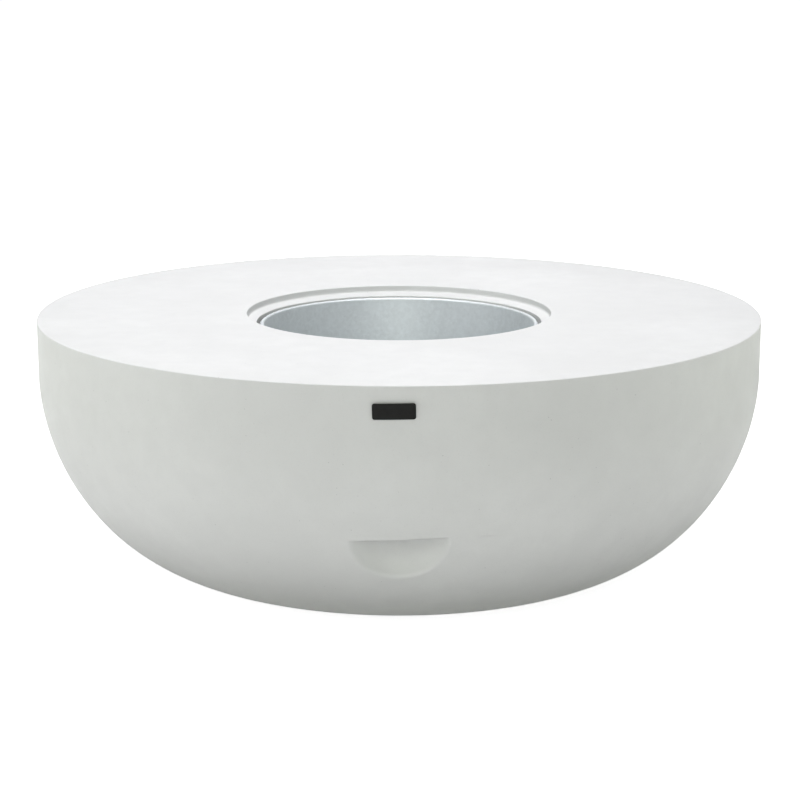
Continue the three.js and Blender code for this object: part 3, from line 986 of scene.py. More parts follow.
@dataclass
class CastBowl:
    """The cast shell: band, double-curved wall, stepped opening, foot flange, collar and ribs."""

    wall: float = 0.012
    top_thickness: float = 0.02
    flange: float = 0.016
    flange_rise: float = 0.0082
    flange_opening: float = 0.182
    base_radius: float = 0.242
    band: float = 0.084
    band_taper: float = 0.0008
    upper_handle_shares: tuple[float, float] = (0.023, 0.4415)
    lower_handle_shares: tuple[float, float] = (0.629, 0.045)
    edge_arris: float = 0.0015
    edge_steps: int = 6
    slab_fillet: float = 0.025
    slab_fillet_steps: int = 8
    slab_margin: float = 0.02
    rebate_radius: float = 0.211
    hole_radius: float = 0.198
    seat_radius: float = 0.1891
    rebate_arris: float = 0.0015
    rebate_arris_steps: int = 5
    rebate_wall: float = 0.0062
    rebate_cove: float = 0.0034
    rebate_cove_steps: int = 7
    hole_edge_drop: float = 0.0134
    hole_edge_arris: float = 0.0008
    seat_drop: float = 0.023
    seat_arris: float = 0.0005
    seat_cove: float = 0.0008
    collar_width: float = 0.05
    collar_drop: float = 0.044
    collar_root: float = 0.006
    collar_edge: float = 0.003
    collar_arris: float = 0.001
    lip_drop: float = 0.2
    front_tilt: float = math.radians(2.3)
    rib_count: int = 8
    rib_width: float = 0.016
    rib_depth_at_wall: float = 0.042
    rib_depth_at_middle: float = 0.015
    rib_foot_rise: float = 0.002
    rib_steps: int = 14
    hole_sides: int = 40
    band_rows: int = 6
    row: float = 0.008
    fine_row: float = 0.0018
    fine_margin: float = 0.01
    inner_row: float = 0.0065
    ledge_row: float = 0.0014
    ledge_reach: float = 1.5
    lip_rows: int = 15
    lip_row_gap: float = 0.00002
    lip_row_tolerance: float = 0.25
    lip_space_above: float = 0.002
    lip_space_below: float = 0.0015
    wall_reach: float = 2.2
    press_reach: float = 1.3
    fine_half_sector: float = math.radians(11.5)
    fine_steps: int = 104
    coarse_steps: int = 80
    samples: int = 600
    holds: list[HandHold] = field(default_factory=list)
    wall_line: list[Vector] = field(default_factory=list)

    def __post_init__(self) -> None:
        """Takes the overall sizes from the frame and works out the wall's curve."""
        low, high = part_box("bowl_shell")
        self.radius = high.x
        self.top = high.z
        self.base = low.z
        self.lip_level = self.top - self.lip_drop
        self.holds = [
            HandHold(Side.FRONT, self.lip_level, self.front_tilt),
            HandHold(Side.REAR, self.lip_level, 0.0),
        ]
        start = Vector((self.radius - self.band_taper, self.top - self.band))
        end = Vector((self.base_radius, self.base))
        span = start - end
        upper = Vector(
            (start.x - self.upper_handle_shares[0] * span.x, start.y - self.upper_handle_shares[1] * span.y)
        )
        lower = Vector(
            (end.x + self.lower_handle_shares[0] * span.x, end.y + self.lower_handle_shares[1] * span.y)
        )
        self.wall_line = [Vector(p) for p in interpolate_bezier(start, upper, lower, end, self.samples)]

    def radius_at(self, level: float) -> float:
        """Radius of the outside of the bowl at a level."""
        line = self.wall_line
        if level >= line[0].y:
            return self.radius - self.band_taper * (self.top - level) / self.band
        low, high = 0, len(line) - 1
        while high - low > 1:
            middle = (low + high) // 2
            if line[middle].y > level:
                low = middle
            else:
                high = middle
        share = (line[low].y - level) / max(line[low].y - line[high].y, TINY)
        return line[low].x + (line[high].x - line[low].x) * share

    def rows_between(self, top: float, bottom: float, spacing: float) -> list[Vector]:
        """Points on the wall's curve, evenly spaced along it.

        Args:
            top: Level of the first point.
            bottom: Level of the last point.
            spacing: Largest distance between points.

        Returns:
            The points from the top down, both ends included.
        """
        line = [Vector((self.radius_at(top), top))]
        line += [p for p in self.wall_line if bottom < p.y < top]
        line.append(Vector((self.radius_at(bottom), bottom)))
        lengths = [0.0]
        for before, after in zip(line, line[1:]):
            lengths.append(lengths[-1] + (after - before).length)
        count = max(1, math.ceil(lengths[-1] / spacing))
        points, at = [], 0
        for i in range(count + 1):
            wanted = lengths[-1] * i / count
            while at < len(line) - 2 and lengths[at + 1] < wanted:
                at += 1
            share = (wanted - lengths[at]) / max(lengths[at + 1] - lengths[at], TINY)
            points.append(line[at].lerp(line[at + 1], min(max(share, 0), 1)))
        return points

    def outside(self) -> list[Vector]:
        """Points of the outside, from the top edge down to the foot, with the rows of the lip."""
        hold = self.holds[0]
        edge = Vector((self.radius - self.edge_arris, self.top - self.edge_arris))
        points = arc(edge, self.edge_arris, math.pi / 2, 0, self.edge_steps)
        band_foot = self.top - self.band
        for i in range(1, self.band_rows):
            level = edge.y + (band_foot - edge.y) * i / self.band_rows
            points.append(Vector((self.radius_at(level), level)))
        points += self.rows_between(band_foot, self.lip_level + self.lip_space_above, self.row)
        for i in range(self.lip_rows):
            level = self.lip_level - i * self.lip_row_gap
            points.append(Vector((self.radius_at(level), level)))
        fine_start = self.lip_level - hold.corner_fillet - self.lip_space_below
        fine_end = self.lip_level - hold.height - self.fine_margin
        points += self.rows_between(fine_start, fine_end, self.fine_row)
        points += self.rows_between(fine_end, self.base, self.row)[1:]
        return points

    def inside(self) -> list[Vector]:
        """Points of the inside of the wall, from the foot flange up to the underside of the top."""
        line = self.wall_line
        inner = []
        for before, after in zip(line, line[1:]):
            along = (after - before).normalized()
            inner.append(before + Vector((along.y, -along.x)) * self.wall)
        inner = [p for p in inner if p.y > self.base + self.flange + self.flange_rise]
        hold = self.holds[0]
        ledge = self.lip_level + hold.backing
        kept = [inner[0]]
        for p in inner:
            near_ledge = abs(p.y - ledge) < hold.ledge_rise * self.ledge_reach
            spacing = self.ledge_row if near_ledge else self.inner_row
            if (p - kept[-1]).length >= spacing:
                kept.append(p)
        kept[-1] = inner[-1]
        slab = self.top - self.top_thickness
        corner = Vector((self.radius - self.wall - self.slab_fillet, slab - self.slab_fillet))
        return [*kept[::-1], *arc(corner, self.slab_fillet, 0, math.pi / 2, self.slab_fillet_steps)]

    def opening(self) -> list[Vector]:
        """Points of the collar and the stepped opening, from below up to the top face."""
        top = self.top
        slab = top - self.top_thickness
        collar = self.hole_radius + self.collar_width
        chamfer = self.collar_drop - self.top_thickness
        collar_foot, seat = top - self.collar_drop, top - self.seat_drop
        cove = Vector((self.rebate_radius - self.rebate_cove, top - self.rebate_wall))
        lead = Vector((self.rebate_radius + self.rebate_arris, top - self.rebate_arris))
        ledge_end = Corner(cove.x, cove.y - self.rebate_cove)
        below = rounded(
            [
                Corner(collar + self.slab_margin, slab),
                Corner(collar, slab, self.collar_root),
                Corner(collar - chamfer, collar_foot, self.collar_edge),
                Corner(self.seat_radius, collar_foot, self.collar_arris),
                Corner(self.seat_radius, seat, self.seat_arris),
                Corner(self.hole_radius, seat, self.seat_cove),
                Corner(self.hole_radius, top - self.hole_edge_drop, self.hole_edge_arris),
                ledge_end,
            ],
            closed=False,
        )
        return [
            *below[:-1],
            *arc(cove, self.rebate_cove, -math.pi / 2, 0, self.rebate_cove_steps),
            *arc(lead, self.rebate_arris, math.pi, math.pi / 2, self.rebate_arris_steps),
        ]

    def lip_row(self, level: float) -> int:
        """Number of the lip's row at a level, or -1 where there is none."""
        row = (self.lip_level - level) / self.lip_row_gap
        nearest = round(row)
        is_row = abs(row - nearest) < self.lip_row_tolerance and -1 < nearest < self.lip_rows
        return nearest if is_row else -1

    def plain(self, points: Sequence[Vector]) -> bpy.types.Object:
        """Turns the section: fine steps at the hand holds, and coarse ones at the sides.

        Args:
            points: The closed section.

        Returns:
            The bowl without its hand holds.
        """
        fine_angle = 2 * self.fine_half_sector
        front = section("cast_bowl", points, closed=True)
        spin(front, fine_angle, self.fine_steps)
        left = section("left_side", points, closed=True)
        spin(left, math.pi - fine_angle, self.coarse_steps)
        front = turned(front, self.fine_half_sector)
        left = turned(left, -self.fine_half_sector)
        others = [turned(copy_of(part, "half"), math.pi) for part in (front, left)]
        bowl = join([front, left, *others], "cast_bowl")
        weld(bowl)
        return bowl

    def shaped(self, hold: HandHold, co: Vector) -> Vector:
        """Where a vertex of the wall lies once a hand hold is pressed into it.

        Args:
            hold: The hand hold.
            co: The vertex on the plain wall.

        Returns:
            Its new place.
        """
        wall = self.radius_at(co.z)
        depth = wall - math.hypot(co.x, co.y)
        x = co.x * -hold.side.value
        if depth > self.wall * self.wall_reach:
            return co
        if depth > self.wall / 2:
            level = hold.levelled(x, co.z)
            outer = math.sqrt(max(self.radius_at(level) ** 2 - co.x**2, 0))
            inner = math.sqrt(max((self.radius_at(level) - depth) ** 2 - co.x**2, 0))
            inner -= hold.bulge(x, level, outer - inner)
            return Vector((co.x, hold.side.value * inner, level))
        row = self.lip_row(co.z)
        if row >= 0:
            ring = self.radius_at(self.lip_level) / math.hypot(co.x, co.y)
            co = Vector((co.x * ring, co.y * ring, self.lip_level))
            x = co.x * -hold.side.value
        level = hold.levelled(x, co.z)
        across, down = hold.local(x, level)
        inwards, drop = 0.0, 0.0
        if row >= 0:
            inwards, drop = hold.lip_profile(across, row, self.lip_rows)
        elif down > 0:
            inwards = hold.hollow(across, down)
        level -= drop
        side_y = math.sqrt(max(self.radius_at(level) ** 2 - co.x**2, 0))
        return Vector((co.x, hold.side.value * (side_y - inwards), level))

    def press_holds(self, bowl: bpy.types.Object) -> None:
        """Presses the hand holds into the wall, in and out of the mesh alike."""
        reach = self.holds[0].bulge_half_width * self.press_reach
        for vertex in bowl.data.vertices:
            is_far = abs(vertex.co.x) > reach or vertex.co.z > self.top - self.band
            if is_far and self.lip_row(vertex.co.z) < 0:
                continue
            hold = self.holds[0] if vertex.co.y < 0 else self.holds[1]
            vertex.co = self.shaped(hold, vertex.co)
        with editing(bowl):
            bpy.ops.mesh.select_all(action="SELECT")
            bpy.ops.mesh.remove_doubles(threshold=WELD)

    def rib(self) -> bpy.types.Object:
        """One rib under the top, from the collar out into the wall."""
        slab = self.top - self.top_thickness
        inner = self.hole_radius + self.collar_width - (self.collar_drop - self.top_thickness)
        outer = self.radius - self.wall / 2
        root = slab + self.top_thickness / 2
        foot = self.top - self.collar_drop + self.rib_foot_rise
        tip = Vector((inner, foot, 0))
        bend = Vector(((inner + outer) / 2, slab - self.rib_depth_at_middle, 0))
        end = Vector((outer, slab - self.rib_depth_at_wall, 0))
        curve = interpolate_bezier(tip, tip.lerp(bend, 2 / 3), end.lerp(bend, 2 / 3), end, self.rib_steps)
        points = [Vector((inner, root)), *(p.to_2d() for p in curve), Vector((outer, root))]
        return extruded("rib", points, self.rib_width)

    def insert_holes(self) -> bpy.types.Object:
        """Cutters of the blind holes that hold the inserts in the foot flange."""
        holes = []
        for i in range(1, FOOT_COUNT + 1):
            insert = Turned.of(f"foot_insert_{i}")
            low, high = self.base - CUT_OVERRUN, insert.top + TOUCH_GAP
            hole = rod("insert_hole", insert.radius + TOUCH_GAP, low, high, self.hole_sides)
            holes.append(moved(hole, insert.axis))
        return join(holes, "insert_holes")

    def build(self) -> bpy.types.Object:
        """Builds the whole shell.

        Returns:
            The finished bowl.
        """
        points = [*self.outside(), Vector((self.flange_opening, self.base))]
        points += [Vector((self.flange_opening, self.base + self.flange)), *self.inside(), *self.opening()]
        bowl = self.plain(points)
        self.press_holds(bowl)
        first = self.rib()
        ribs = []
        for i in range(self.rib_count):
            twin = copy_of(first, f"rib_{i}")
            ribs.append(turned(twin, (i + 0.5) * FULL_TURN / self.rib_count))
        bpy.data.objects.remove(first)
        combine(bowl, [join(ribs, "ribs")], "UNION")
        combine(bowl, [self.insert_holes()], "DIFFERENCE")
        smooth(bowl)
        return bowl

    def make(self) -> None:
        """Builds the bowl, dresses it and puts it in its place."""
        place(self.build(), "table", "bowl_shell", CONCRETE)


@dataclass
class FrontPlate:
    """The small blank plate on the band, and the foam tape that holds it."""

    bowl: CastBowl
    width: float = 0.053
    height: float = 0.020
    thickness: float = 0.0015
    corner: float = 0.003
    edge: float = 0.0003
    centre_x: float = -0.006
    centre_drop: float = 0.031
    tilt: float = math.radians(0.85)
    tape_thickness: float = 0.001
    tape_inset: float = 0.002
    tape_edge: float = 0.0001
    columns: int = 16
    corner_steps: int = 8

    def sheet(self, name: str, inset: float, thickness: float, edge: float) -> bpy.types.Object:
        """A flat sheet with round corners, its back at level 0.

        Args:
            name: Name of the object.
            inset: How far its edge lies inside the plate's.
            thickness: Its thickness.
            edge: Radius of its edges.

        Returns:
            The sheet, cut into columns so that it can follow the band.
        """
        deselect()
        bpy.ops.mesh.primitive_plane_add(size=1)
        piece = named(name)
        width = self.width - 2 * inset
        piece.scale = (width, self.height - 2 * inset, 1)
        apply_place(piece)
        with editing(piece):
            bpy.ops.mesh.select_all(action="SELECT")
            bpy.ops.mesh.bevel(offset=self.corner, segments=self.corner_steps, affect="VERTICES")
            for i in range(1, self.columns):
                bpy.ops.mesh.select_all(action="SELECT")
                across = width * (i / self.columns - 1 / 2)
                bpy.ops.mesh.bisect(plane_co=(across, 0, 0), plane_no=(1, 0, 0))
        apply_modifier(piece, "SOLIDIFY", thickness=thickness, offset=1)
        bevelled(piece, edge)
        return piece

    def bend(self, piece: bpy.types.Object, off: float) -> None:
        """Lays a flat sheet round the band.

        Args:
            piece: The sheet.
            off: Distance from the wall to its back.
        """
        for vertex in piece.data.vertices:
            across, up, out = vertex.co
            side = across * math.cos(self.tilt) - up * math.sin(self.tilt) + self.centre_x
            rise = across * math.sin(self.tilt) + up * math.cos(self.tilt)
            level = self.bowl.top - self.centre_drop + rise
            angle = side / self.bowl.radius
            radius = self.bowl.radius_at(level) + off + out
            vertex.co = (radius * math.sin(angle), -radius * math.cos(angle), level)
        smooth(piece)

    def make(self) -> None:
        """Makes the tape and the plate."""
        tape = self.sheet("tape_strip", self.tape_inset, self.tape_thickness, self.tape_edge)
        self.bend(tape, TOUCH_GAP)
        place(tape, "table", "plate_tape", FOAM)
        plate = self.sheet("blank_plate", 0, self.thickness, self.edge)
        self.bend(plate, self.tape_thickness + 2 * TOUCH_GAP)
        place(plate, "table", "front_plate", BLACK_PLATE)


@dataclass
class Feet:
    """The rubber pads under the foot flange, each with its countersunk screw and cast-in insert."""

    steps: int = 72
    pad_edge: float = 0.0012
    crisp_edge: float = 0.0003
    groove_radii: tuple[float, ...] = (0.0105, 0.0135, 0.0165)
    groove_width: float = 0.0012
    groove_depth: float = 0.0006
    shank_radius: float = 0.0027
    head_height: float = 0.0026
    socket_width: float = 0.004
    socket_depth: float = 0.0018
    thread_pitch: float = 0.001
    thread_depth: float = 0.0005
    thread_turns: int = 8
    tip_chamfer: float = 0.0006
    knurl_steps: int = 48
    knurl_depth: float = 0.0003
    knurl_groove_shares: tuple[float, float] = (0.4, 0.6)

    def __post_init__(self) -> None:
        """Takes the sizes of the first foot from the frame."""
        self.pad = Turned.of("foot_pad_1")
        self.screw = Turned.of("foot_screw_1")
        self.insert = Turned.of("foot_insert_1")

    def rubber_foot(self) -> bpy.types.Object:
        """The pad: a disc with a countersink and three grooves round its sole."""
        pad, screw = self.pad, self.screw
        cone_width = screw.radius - self.shank_radius
        spread = TOUCH_GAP * math.hypot(cone_width, self.head_height) / self.head_height
        corners = [
            Corner(self.shank_radius + spread, pad.top),
            Corner(self.shank_radius + spread, screw.bottom + self.head_height),
            Corner(screw.radius + spread, screw.bottom),
            Corner(screw.radius + spread, pad.bottom, self.crisp_edge),
        ]
        for radius in self.groove_radii:
            inner, outer = radius - self.groove_width / 2, radius + self.groove_width / 2
            roof = pad.bottom + self.groove_depth
            rim = ((inner, pad.bottom), (inner, roof), (outer, roof), (outer, pad.bottom))
            corners += [Corner(*at, self.crisp_edge / 2) for at in rim]
        corners.append(Corner(pad.radius, pad.bottom, self.pad_edge))
        corners.append(Corner(pad.radius, pad.top, self.crisp_edge))
        return lathe("rubber_foot", rounded(corners), self.steps)

    def countersunk_screw(self) -> bpy.types.Object:
        """The screw: a cone head with a hexagon socket, and a threaded shank."""
        screw = self.screw
        head_top = screw.bottom + self.head_height
        thread = Thread(
            self.shank_radius, self.thread_depth, self.thread_pitch, self.insert.bottom, self.thread_turns
        )
        corners = [
            Corner(0, screw.bottom),
            Corner(screw.radius, screw.bottom, self.crisp_edge / 2),
            Corner(self.shank_radius, head_top),
            Corner(self.shank_radius, self.insert.bottom),
            Corner(thread.core, self.insert.bottom + self.thread_depth),
            Corner(thread.core, screw.top - self.tip_chamfer),
            Corner(thread.core - self.tip_chamfer, screw.top),
            Corner(0, screw.top),
        ]
        piece = lathe("countersunk_screw", rounded(corners, closed=False), self.steps, closed=False)
        corner = self.socket_width / math.sqrt(3)
        floor = screw.bottom + self.socket_depth
        socket = rod("socket", corner, screw.bottom - CUT_OVERRUN, floor, HEXAGON)
        combine(piece, [socket], "DIFFERENCE")
        thread.cut_on(piece)
        return piece

    def knurled_insert(self) -> bpy.types.Object:
        """The insert: a bush with a knurled outside and a groove round it that the cast grips."""
        insert = self.insert
        length = insert.top - insert.bottom
        low, high = (insert.bottom + share * length for share in self.knurl_groove_shares)
        neck = insert.radius - 2 * self.knurl_depth
        corners = [
            Corner(self.shank_radius + TOUCH_GAP, insert.bottom),
            Corner(insert.radius, insert.bottom),
            Corner(insert.radius, low),
            Corner(neck, low),
            Corner(neck, high),
            Corner(insert.radius, high),
            Corner(insert.radius, insert.top),
            Corner(self.shank_radius + TOUCH_GAP, insert.top),
        ]
        piece = lathe("knurled_insert", rounded(corners), self.knurl_steps)
        for vertex in piece.data.vertices:
            step = round(math.atan2(vertex.co.y, vertex.co.x) / FULL_TURN * self.knurl_steps)
            radius = vertex.co.xy.length
            if step % 2 and radius > insert.radius - self.knurl_depth:
                vertex.co.xy *= 1 - self.knurl_depth / radius
        return piece

    def make(self) -> None:
        """Makes one foot and copies it to the others."""
        kinds = (
            ("foot_pad", self.rubber_foot, RUBBER),
            ("foot_screw", self.countersunk_screw, STAINLESS),
            ("foot_insert", self.knurled_insert, BRASS),
        )
        for node, build, finish in kinds:
            first = build()
            smooth(first)
            for i in range(1, FOOT_COUNT + 1):
                twin = copy_of(first, f"{first.name}_{i}")
                place(moved(twin, Turned.of(f"{node}_{i}").axis), "table", f"{node}_{i}", finish)
            bpy.data.objects.remove(first)


@dataclass
class DrainSet:
    """The drain in the bucket's floor: a flanged body with a threaded tail, its gasket, washer and nut."""

    steps: int = 120
    tail_radius: float = 0.020
    tail_clearance: float = 0.0006
    flange_thickness: float = 0.002
    flange_edge: float = 0.0008
    bore: float = 0.016
    seat_radius: float = 0.019
    seat_depth: float = 0.008
    crisp_edge: float = 0.0004
    thread_depth: float = 0.0009
    thread_pitch: float = 0.002
    thread_turns: int = 11
    nut_chamfer: float = math.radians(30)
    nut_face_inset: float = 0.0005
    nut_bore_chamfer: float = 0.0008

    def __post_init__(self) -> None:
        """Takes the levels and radii of body and nut from the frame."""
        self.body = Turned.of("drain_body")
        self.nut = Turned.of("drain_nut")
        self.top = self.body.top

    def flanged_body(self) -> bpy.types.Object:
        """The body, with a cone for the plug's seat."""
        body = self.body
        under = self.top - self.flange_thickness
        neck = self.nut.top - self.crisp_edge
        start = body.bottom + self.thread_depth
        thread = Thread(
            self.tail_radius, self.thread_depth, self.thread_pitch, start, self.thread_turns, self.steps
        )
        corners = [
            Corner(self.bore, body.bottom, self.crisp_edge),
            Corner(thread.core, body.bottom, self.crisp_edge),
            Corner(thread.core, neck - self.thread_depth),
            Corner(self.tail_radius, neck),
            Corner(self.tail_radius, under),
            Corner(body.radius, under, self.crisp_edge),
            Corner(body.radius, self.top, self.flange_edge),
            Corner(self.seat_radius, self.top, self.crisp_edge),
            Corner(self.bore, self.top - self.seat_depth, self.crisp_edge),
        ]
        piece = lathe("flanged_drain", rounded(corners), self.steps)
        thread.cut_on(piece)
        smooth(piece)
        return piece

    def hexagon_nut(self) -> bpy.types.Object:
        """The nut: a turned blank with chamfered faces, cut to a hexagon and bored."""
        nut = self.nut
        corner = nut.radius / math.cos(math.pi / HEXAGON)
        face = nut.radius - self.nut_face_inset
        blank_radius = corner + CUT_OVERRUN
        fall = (blank_radius - face) * math.tan(self.nut_chamfer)
        outline = [(0, nut.bottom), (face, nut.bottom), (blank_radius, nut.bottom + fall)]
        outline += [(blank_radius, nut.top - fall), (face, nut.top), (0, nut.top)]
        piece = lathe("hexagon_nut", [Vector(p) for p in outline], self.steps, closed=False)
        prism = rod("prism", corner, nut.bottom - CUT_OVERRUN, nut.top + CUT_OVERRUN, HEXAGON)
        combine(piece, [turned(prism, math.pi / 2)], "INTERSECT")
        bore = self.tail_radius + TOUCH_GAP
        flare = bore + self.nut_bore_chamfer + CUT_OVERRUN
        low, high = nut.bottom + self.nut_bore_chamfer, nut.top - self.nut_bore_chamfer
        spool = [(0, nut.bottom - CUT_OVERRUN), (flare, nut.bottom - CUT_OVERRUN), (bore, low), (bore, high)]
        spool += [(flare, nut.top + CUT_OVERRUN), (0, nut.top + CUT_OVERRUN)]
        cutter = lathe("bore", [Vector(p) for p in spool], self.steps, closed=False)
        combine(piece, [cutter], "DIFFERENCE")
        smooth(piece)
        return piece

    def make(self) -> None:
        """Makes body, gasket, washer and nut."""
        inner = self.tail_radius + TOUCH_GAP
        place(self.flanged_body(), "bucket", "drain_body", STAINLESS)
        gasket = flat_ring("flange_gasket", "drain_gasket", inner, self.crisp_edge, self.steps)
        place(gasket, "bucket", "drain_gasket", RUBBER)
        washer = flat_ring("under_floor_washer", "drain_washer", inner, self.crisp_edge, self.steps)
        place(washer, "bucket", "drain_washer", RUBBER)
        place(self.hexagon_nut(), "bucket", "drain_nut", BRASS)


@dataclass
class Plug:
    """The rubber plug with its riveted eye, and the ring that pulls it out."""

    drain: DrainSet
    steps: int = 96
    lid_thickness: float = 0.003
    lid_edge: float = 0.0008
    soft_edge: float = 0.0005
    groove_radius: float = 0.0165
    groove_width: float = 0.0016
    groove_depth: float = 0.0006
    disc_radius: float = 0.0065
    disc_thickness: float = 0.0012
    shank_radius: float = 0.002
    shank_length: float = 0.007
    lug_radius: float = 0.0042
    lug_thickness: float = 0.0024
    hole_radius: float = 0.0019
    metal_edge: float = 0.0003
    hole_sides: int = 40
    ring_radius: float = 0.013
    ring_wire: float = 0.0013
    ring_sides: int = 20
    ring_tilt: float = math.radians(11)
    bead_height: float = 0.00018
    bead_width: float = 0.0009

    def __post_init__(self) -> None:
        """Takes the levels of plug and eye from the frame."""
        self.rubber = Turned.of("drain_plug")
        self.eye_level = Turned.of("plug_eye").top - self.lug_radius

    def rubber_plug(self) -> bpy.types.Object:
        """The plug: a lid with a groove round it, over a body with the seat's own taper."""
        plug, drain = self.rubber, self.drain
        lid_bottom = plug.top - self.lid_thickness
        slope = (drain.seat_radius - drain.bore) / drain.seat_depth
        neck = drain.seat_radius - TOUCH_GAP * math.hypot(1, slope)
        hole = self.shank_radius + TOUCH_GAP
        hole_floor = plug.top - self.shank_length - TOUCH_GAP
        outer, inner = self.groove_radius + self.groove_width / 2, self.groove_radius - self.groove_width / 2
        groove_floor = plug.top - self.groove_depth
        groove = ((outer, plug.top), (outer, groove_floor), (inner, groove_floor), (inner, plug.top))
        corners = [
            Corner(0, plug.bottom),
            Corner(drain.bore - TOUCH_GAP, plug.bottom, self.soft_edge),
            Corner(drain.bore - TOUCH_GAP, drain.top - drain.seat_depth, self.soft_edge),
            Corner(neck, drain.top),
            Corner(neck, lid_bottom),
            Corner(plug.radius, lid_bottom, self.soft_edge),
            Corner(plug.radius, plug.top, self.lid_edge),
            *(Corner(*at, self.groove_depth / 3) for at in groove),
            Corner(hole, plug.top, self.metal_edge),
            Corner(hole, hole_floor),
            Corner(0, hole_floor),
        ]
        piece = lathe("rubber_plug", rounded(corners, closed=False), self.steps, closed=False)
        smooth(piece)
        return piece

    def riveted_eye(self) -> bpy.types.Object:
        """The eye: a disc with a shank below it, and an upright lug with a hole."""
        bottom = self.rubber.top
        top = bottom + self.disc_thickness
        corners = [
            Corner(0, bottom - self.shank_length),
            Corner(self.shank_radius, bottom - self.shank_length, self.metal_edge),
            Corner(self.shank_radius, bottom),
            Corner(self.disc_radius, bottom, self.metal_edge),
            Corner(self.disc_radius, top, self.disc_thickness / 2),
            Corner(0, top),
        ]
        piece = lathe("riveted_eye", rounded(corners, closed=False), self.steps, closed=False)
        crown = arc(Vector((0, self.eye_level)), self.lug_radius, 0, math.pi, self.hole_sides // 2)
        root = (bottom + top) / 2
        outline = [*crown, Vector((-self.lug_radius, root)), Vector((self.lug_radius, root))]
        lug = turned(extruded("lug", outline, self.lug_thickness), math.pi / 2)
        hole = rod("eye_hole", self.hole_radius, -self.lug_thickness, self.lug_thickness, self.hole_sides)
        hole.rotation_euler.x = math.pi / 2
        hole.location.z = self.eye_level
        apply_place(hole)
        combine(lug, [hole], "DIFFERENCE")
        bevelled(lug, self.metal_edge)
        combine(piece, [lug], "UNION")
        smooth(piece)
        return piece

    def lift_ring(self) -> bpy.types.Object:
        """The ring of wire through the eye, with the bead of its weld at the far end."""
        piece = hoop("lift_ring", self.ring_radius, self.ring_wire, self.steps, self.ring_sides)
        for vertex in piece.data.vertices:
            along = self.ring_radius * math.atan2(vertex.co.y, vertex.co.x) / self.bead_width
            middle = vertex.co.xy.normalized().to_3d() * self.ring_radius
            swell = 1 + self.bead_height / self.ring_wire * math.exp(-along * along)
            vertex.co = middle + (vertex.co - middle) * swell
        piece.rotation_euler.y = self.ring_tilt
        reach = Vector((math.cos(self.ring_tilt), 0, -math.sin(self.ring_tilt))) * self.ring_radius
        smooth(moved(piece, Vector((0, 0, self.eye_level)) + reach))
        return piece

    def make(self) -> None:
        """Makes plug, eye and ring."""
        place(self.rubber_plug(), "plug", "drain_plug", RUBBER)
        place(self.riveted_eye(), "plug", "plug_eye", STAINLESS)
        place(self.lift_ring(), "pull_ring", "plug_ring", STAINLESS)


@dataclass
class IceBucket:
    """The spun bucket with its rolled rim and the wire in it, and the gasket that it rests on."""

    drain: DrainSet
    sheet: float = 0.0009
    wire_radius: float = 0.0019
    depth: float = 0.19
    taper: float = 0.0245
    corner: float = 0.022
    recess_radius: float = 0.036
    recess_ramp: float = 0.0025
    recess_fillet: float = 0.0012
    curl_end: float = math.radians(-110)
    curl_steps: int = 24
    corner_steps: int = 12
    wall_rows: int = 8
    steps: int = 180
    gasket_width: float = 0.007
    gasket_edge: float = 0.0004
    wire_sides: int = 14

    def __post_init__(self) -> None:
        """Takes the bucket's sizes from the frame."""
        bucket = Turned.of("ice_bucket")
        self.curl = self.wire_radius + TOUCH_GAP + self.sheet
        self.rim_centre = Vector((bucket.radius - self.curl, bucket.top - self.curl))
        self.mouth = self.rim_centre.x - self.curl
        self.floor = bucket.top - self.depth
        self.recess = bucket.bottom + self.sheet

    def inside_face(self) -> list[Vector]:
        """Points of the inside, from the drain hole out over the floor, up the wall and round the curl."""
        foot = Corner(self.mouth - self.taper, self.floor, self.corner)
        head = Corner(self.mouth, self.rim_centre.y)
        hole = self.drain.tail_radius + self.drain.tail_clearance
        low = rounded(
            [
                Corner(hole, self.recess),
                Corner(self.recess_radius, self.recess, self.recess_fillet),
                Corner(self.recess_radius + self.recess_ramp, self.drain.top, self.recess_fillet),
                foot,
                head,
            ],
            self.corner_steps,
            closed=False,
        )
        wall = [low[-2].lerp(head.at, i / self.wall_rows) for i in range(1, self.wall_rows)]
        return [*low[:-1], *wall, *arc(self.rim_centre, self.curl, math.pi, self.curl_end, self.curl_steps)]

    def spun_bucket(self) -> bpy.types.Object:
        """The sheet of the bucket, given its thickness away from the inside face."""
        piece = lathe("spun_bucket", self.inside_face(), self.steps, closed=False)
        level = (self.floor + self.rim_centre.y) / 2
        middle = min(piece.data.polygons, key=lambda face: abs(face.center.z - level))
        if middle.normal.xy.dot(middle.center.xy) > 0:
            piece.data.flip_normals()
        apply_modifier(
            piece, "SOLIDIFY", thickness=self.sheet, offset=-1, use_even_offset=True, use_quality_normals=True
        )
        smooth(piece)
        return piece

    def make(self) -> None:
        """Makes gasket, bucket and wire."""
        inner = Turned.of("bucket_gasket").radius - self.gasket_width
        gasket = flat_ring("rim_gasket", "bucket_gasket", inner, self.gasket_edge, self.steps)
        place(gasket, "table", "bucket_gasket", RUBBER)
        place(self.spun_bucket(), "bucket", "ice_bucket", ZINC)
        wire = hoop("hooped_wire", self.rim_centre.x, self.wire_radius, self.steps, self.wire_sides)
        wire = moved(wire, Vector((0, 0, self.rim_centre.y)))
        smooth(wire)
        place(wire, "bucket", "rim_wire", STAINLESS)


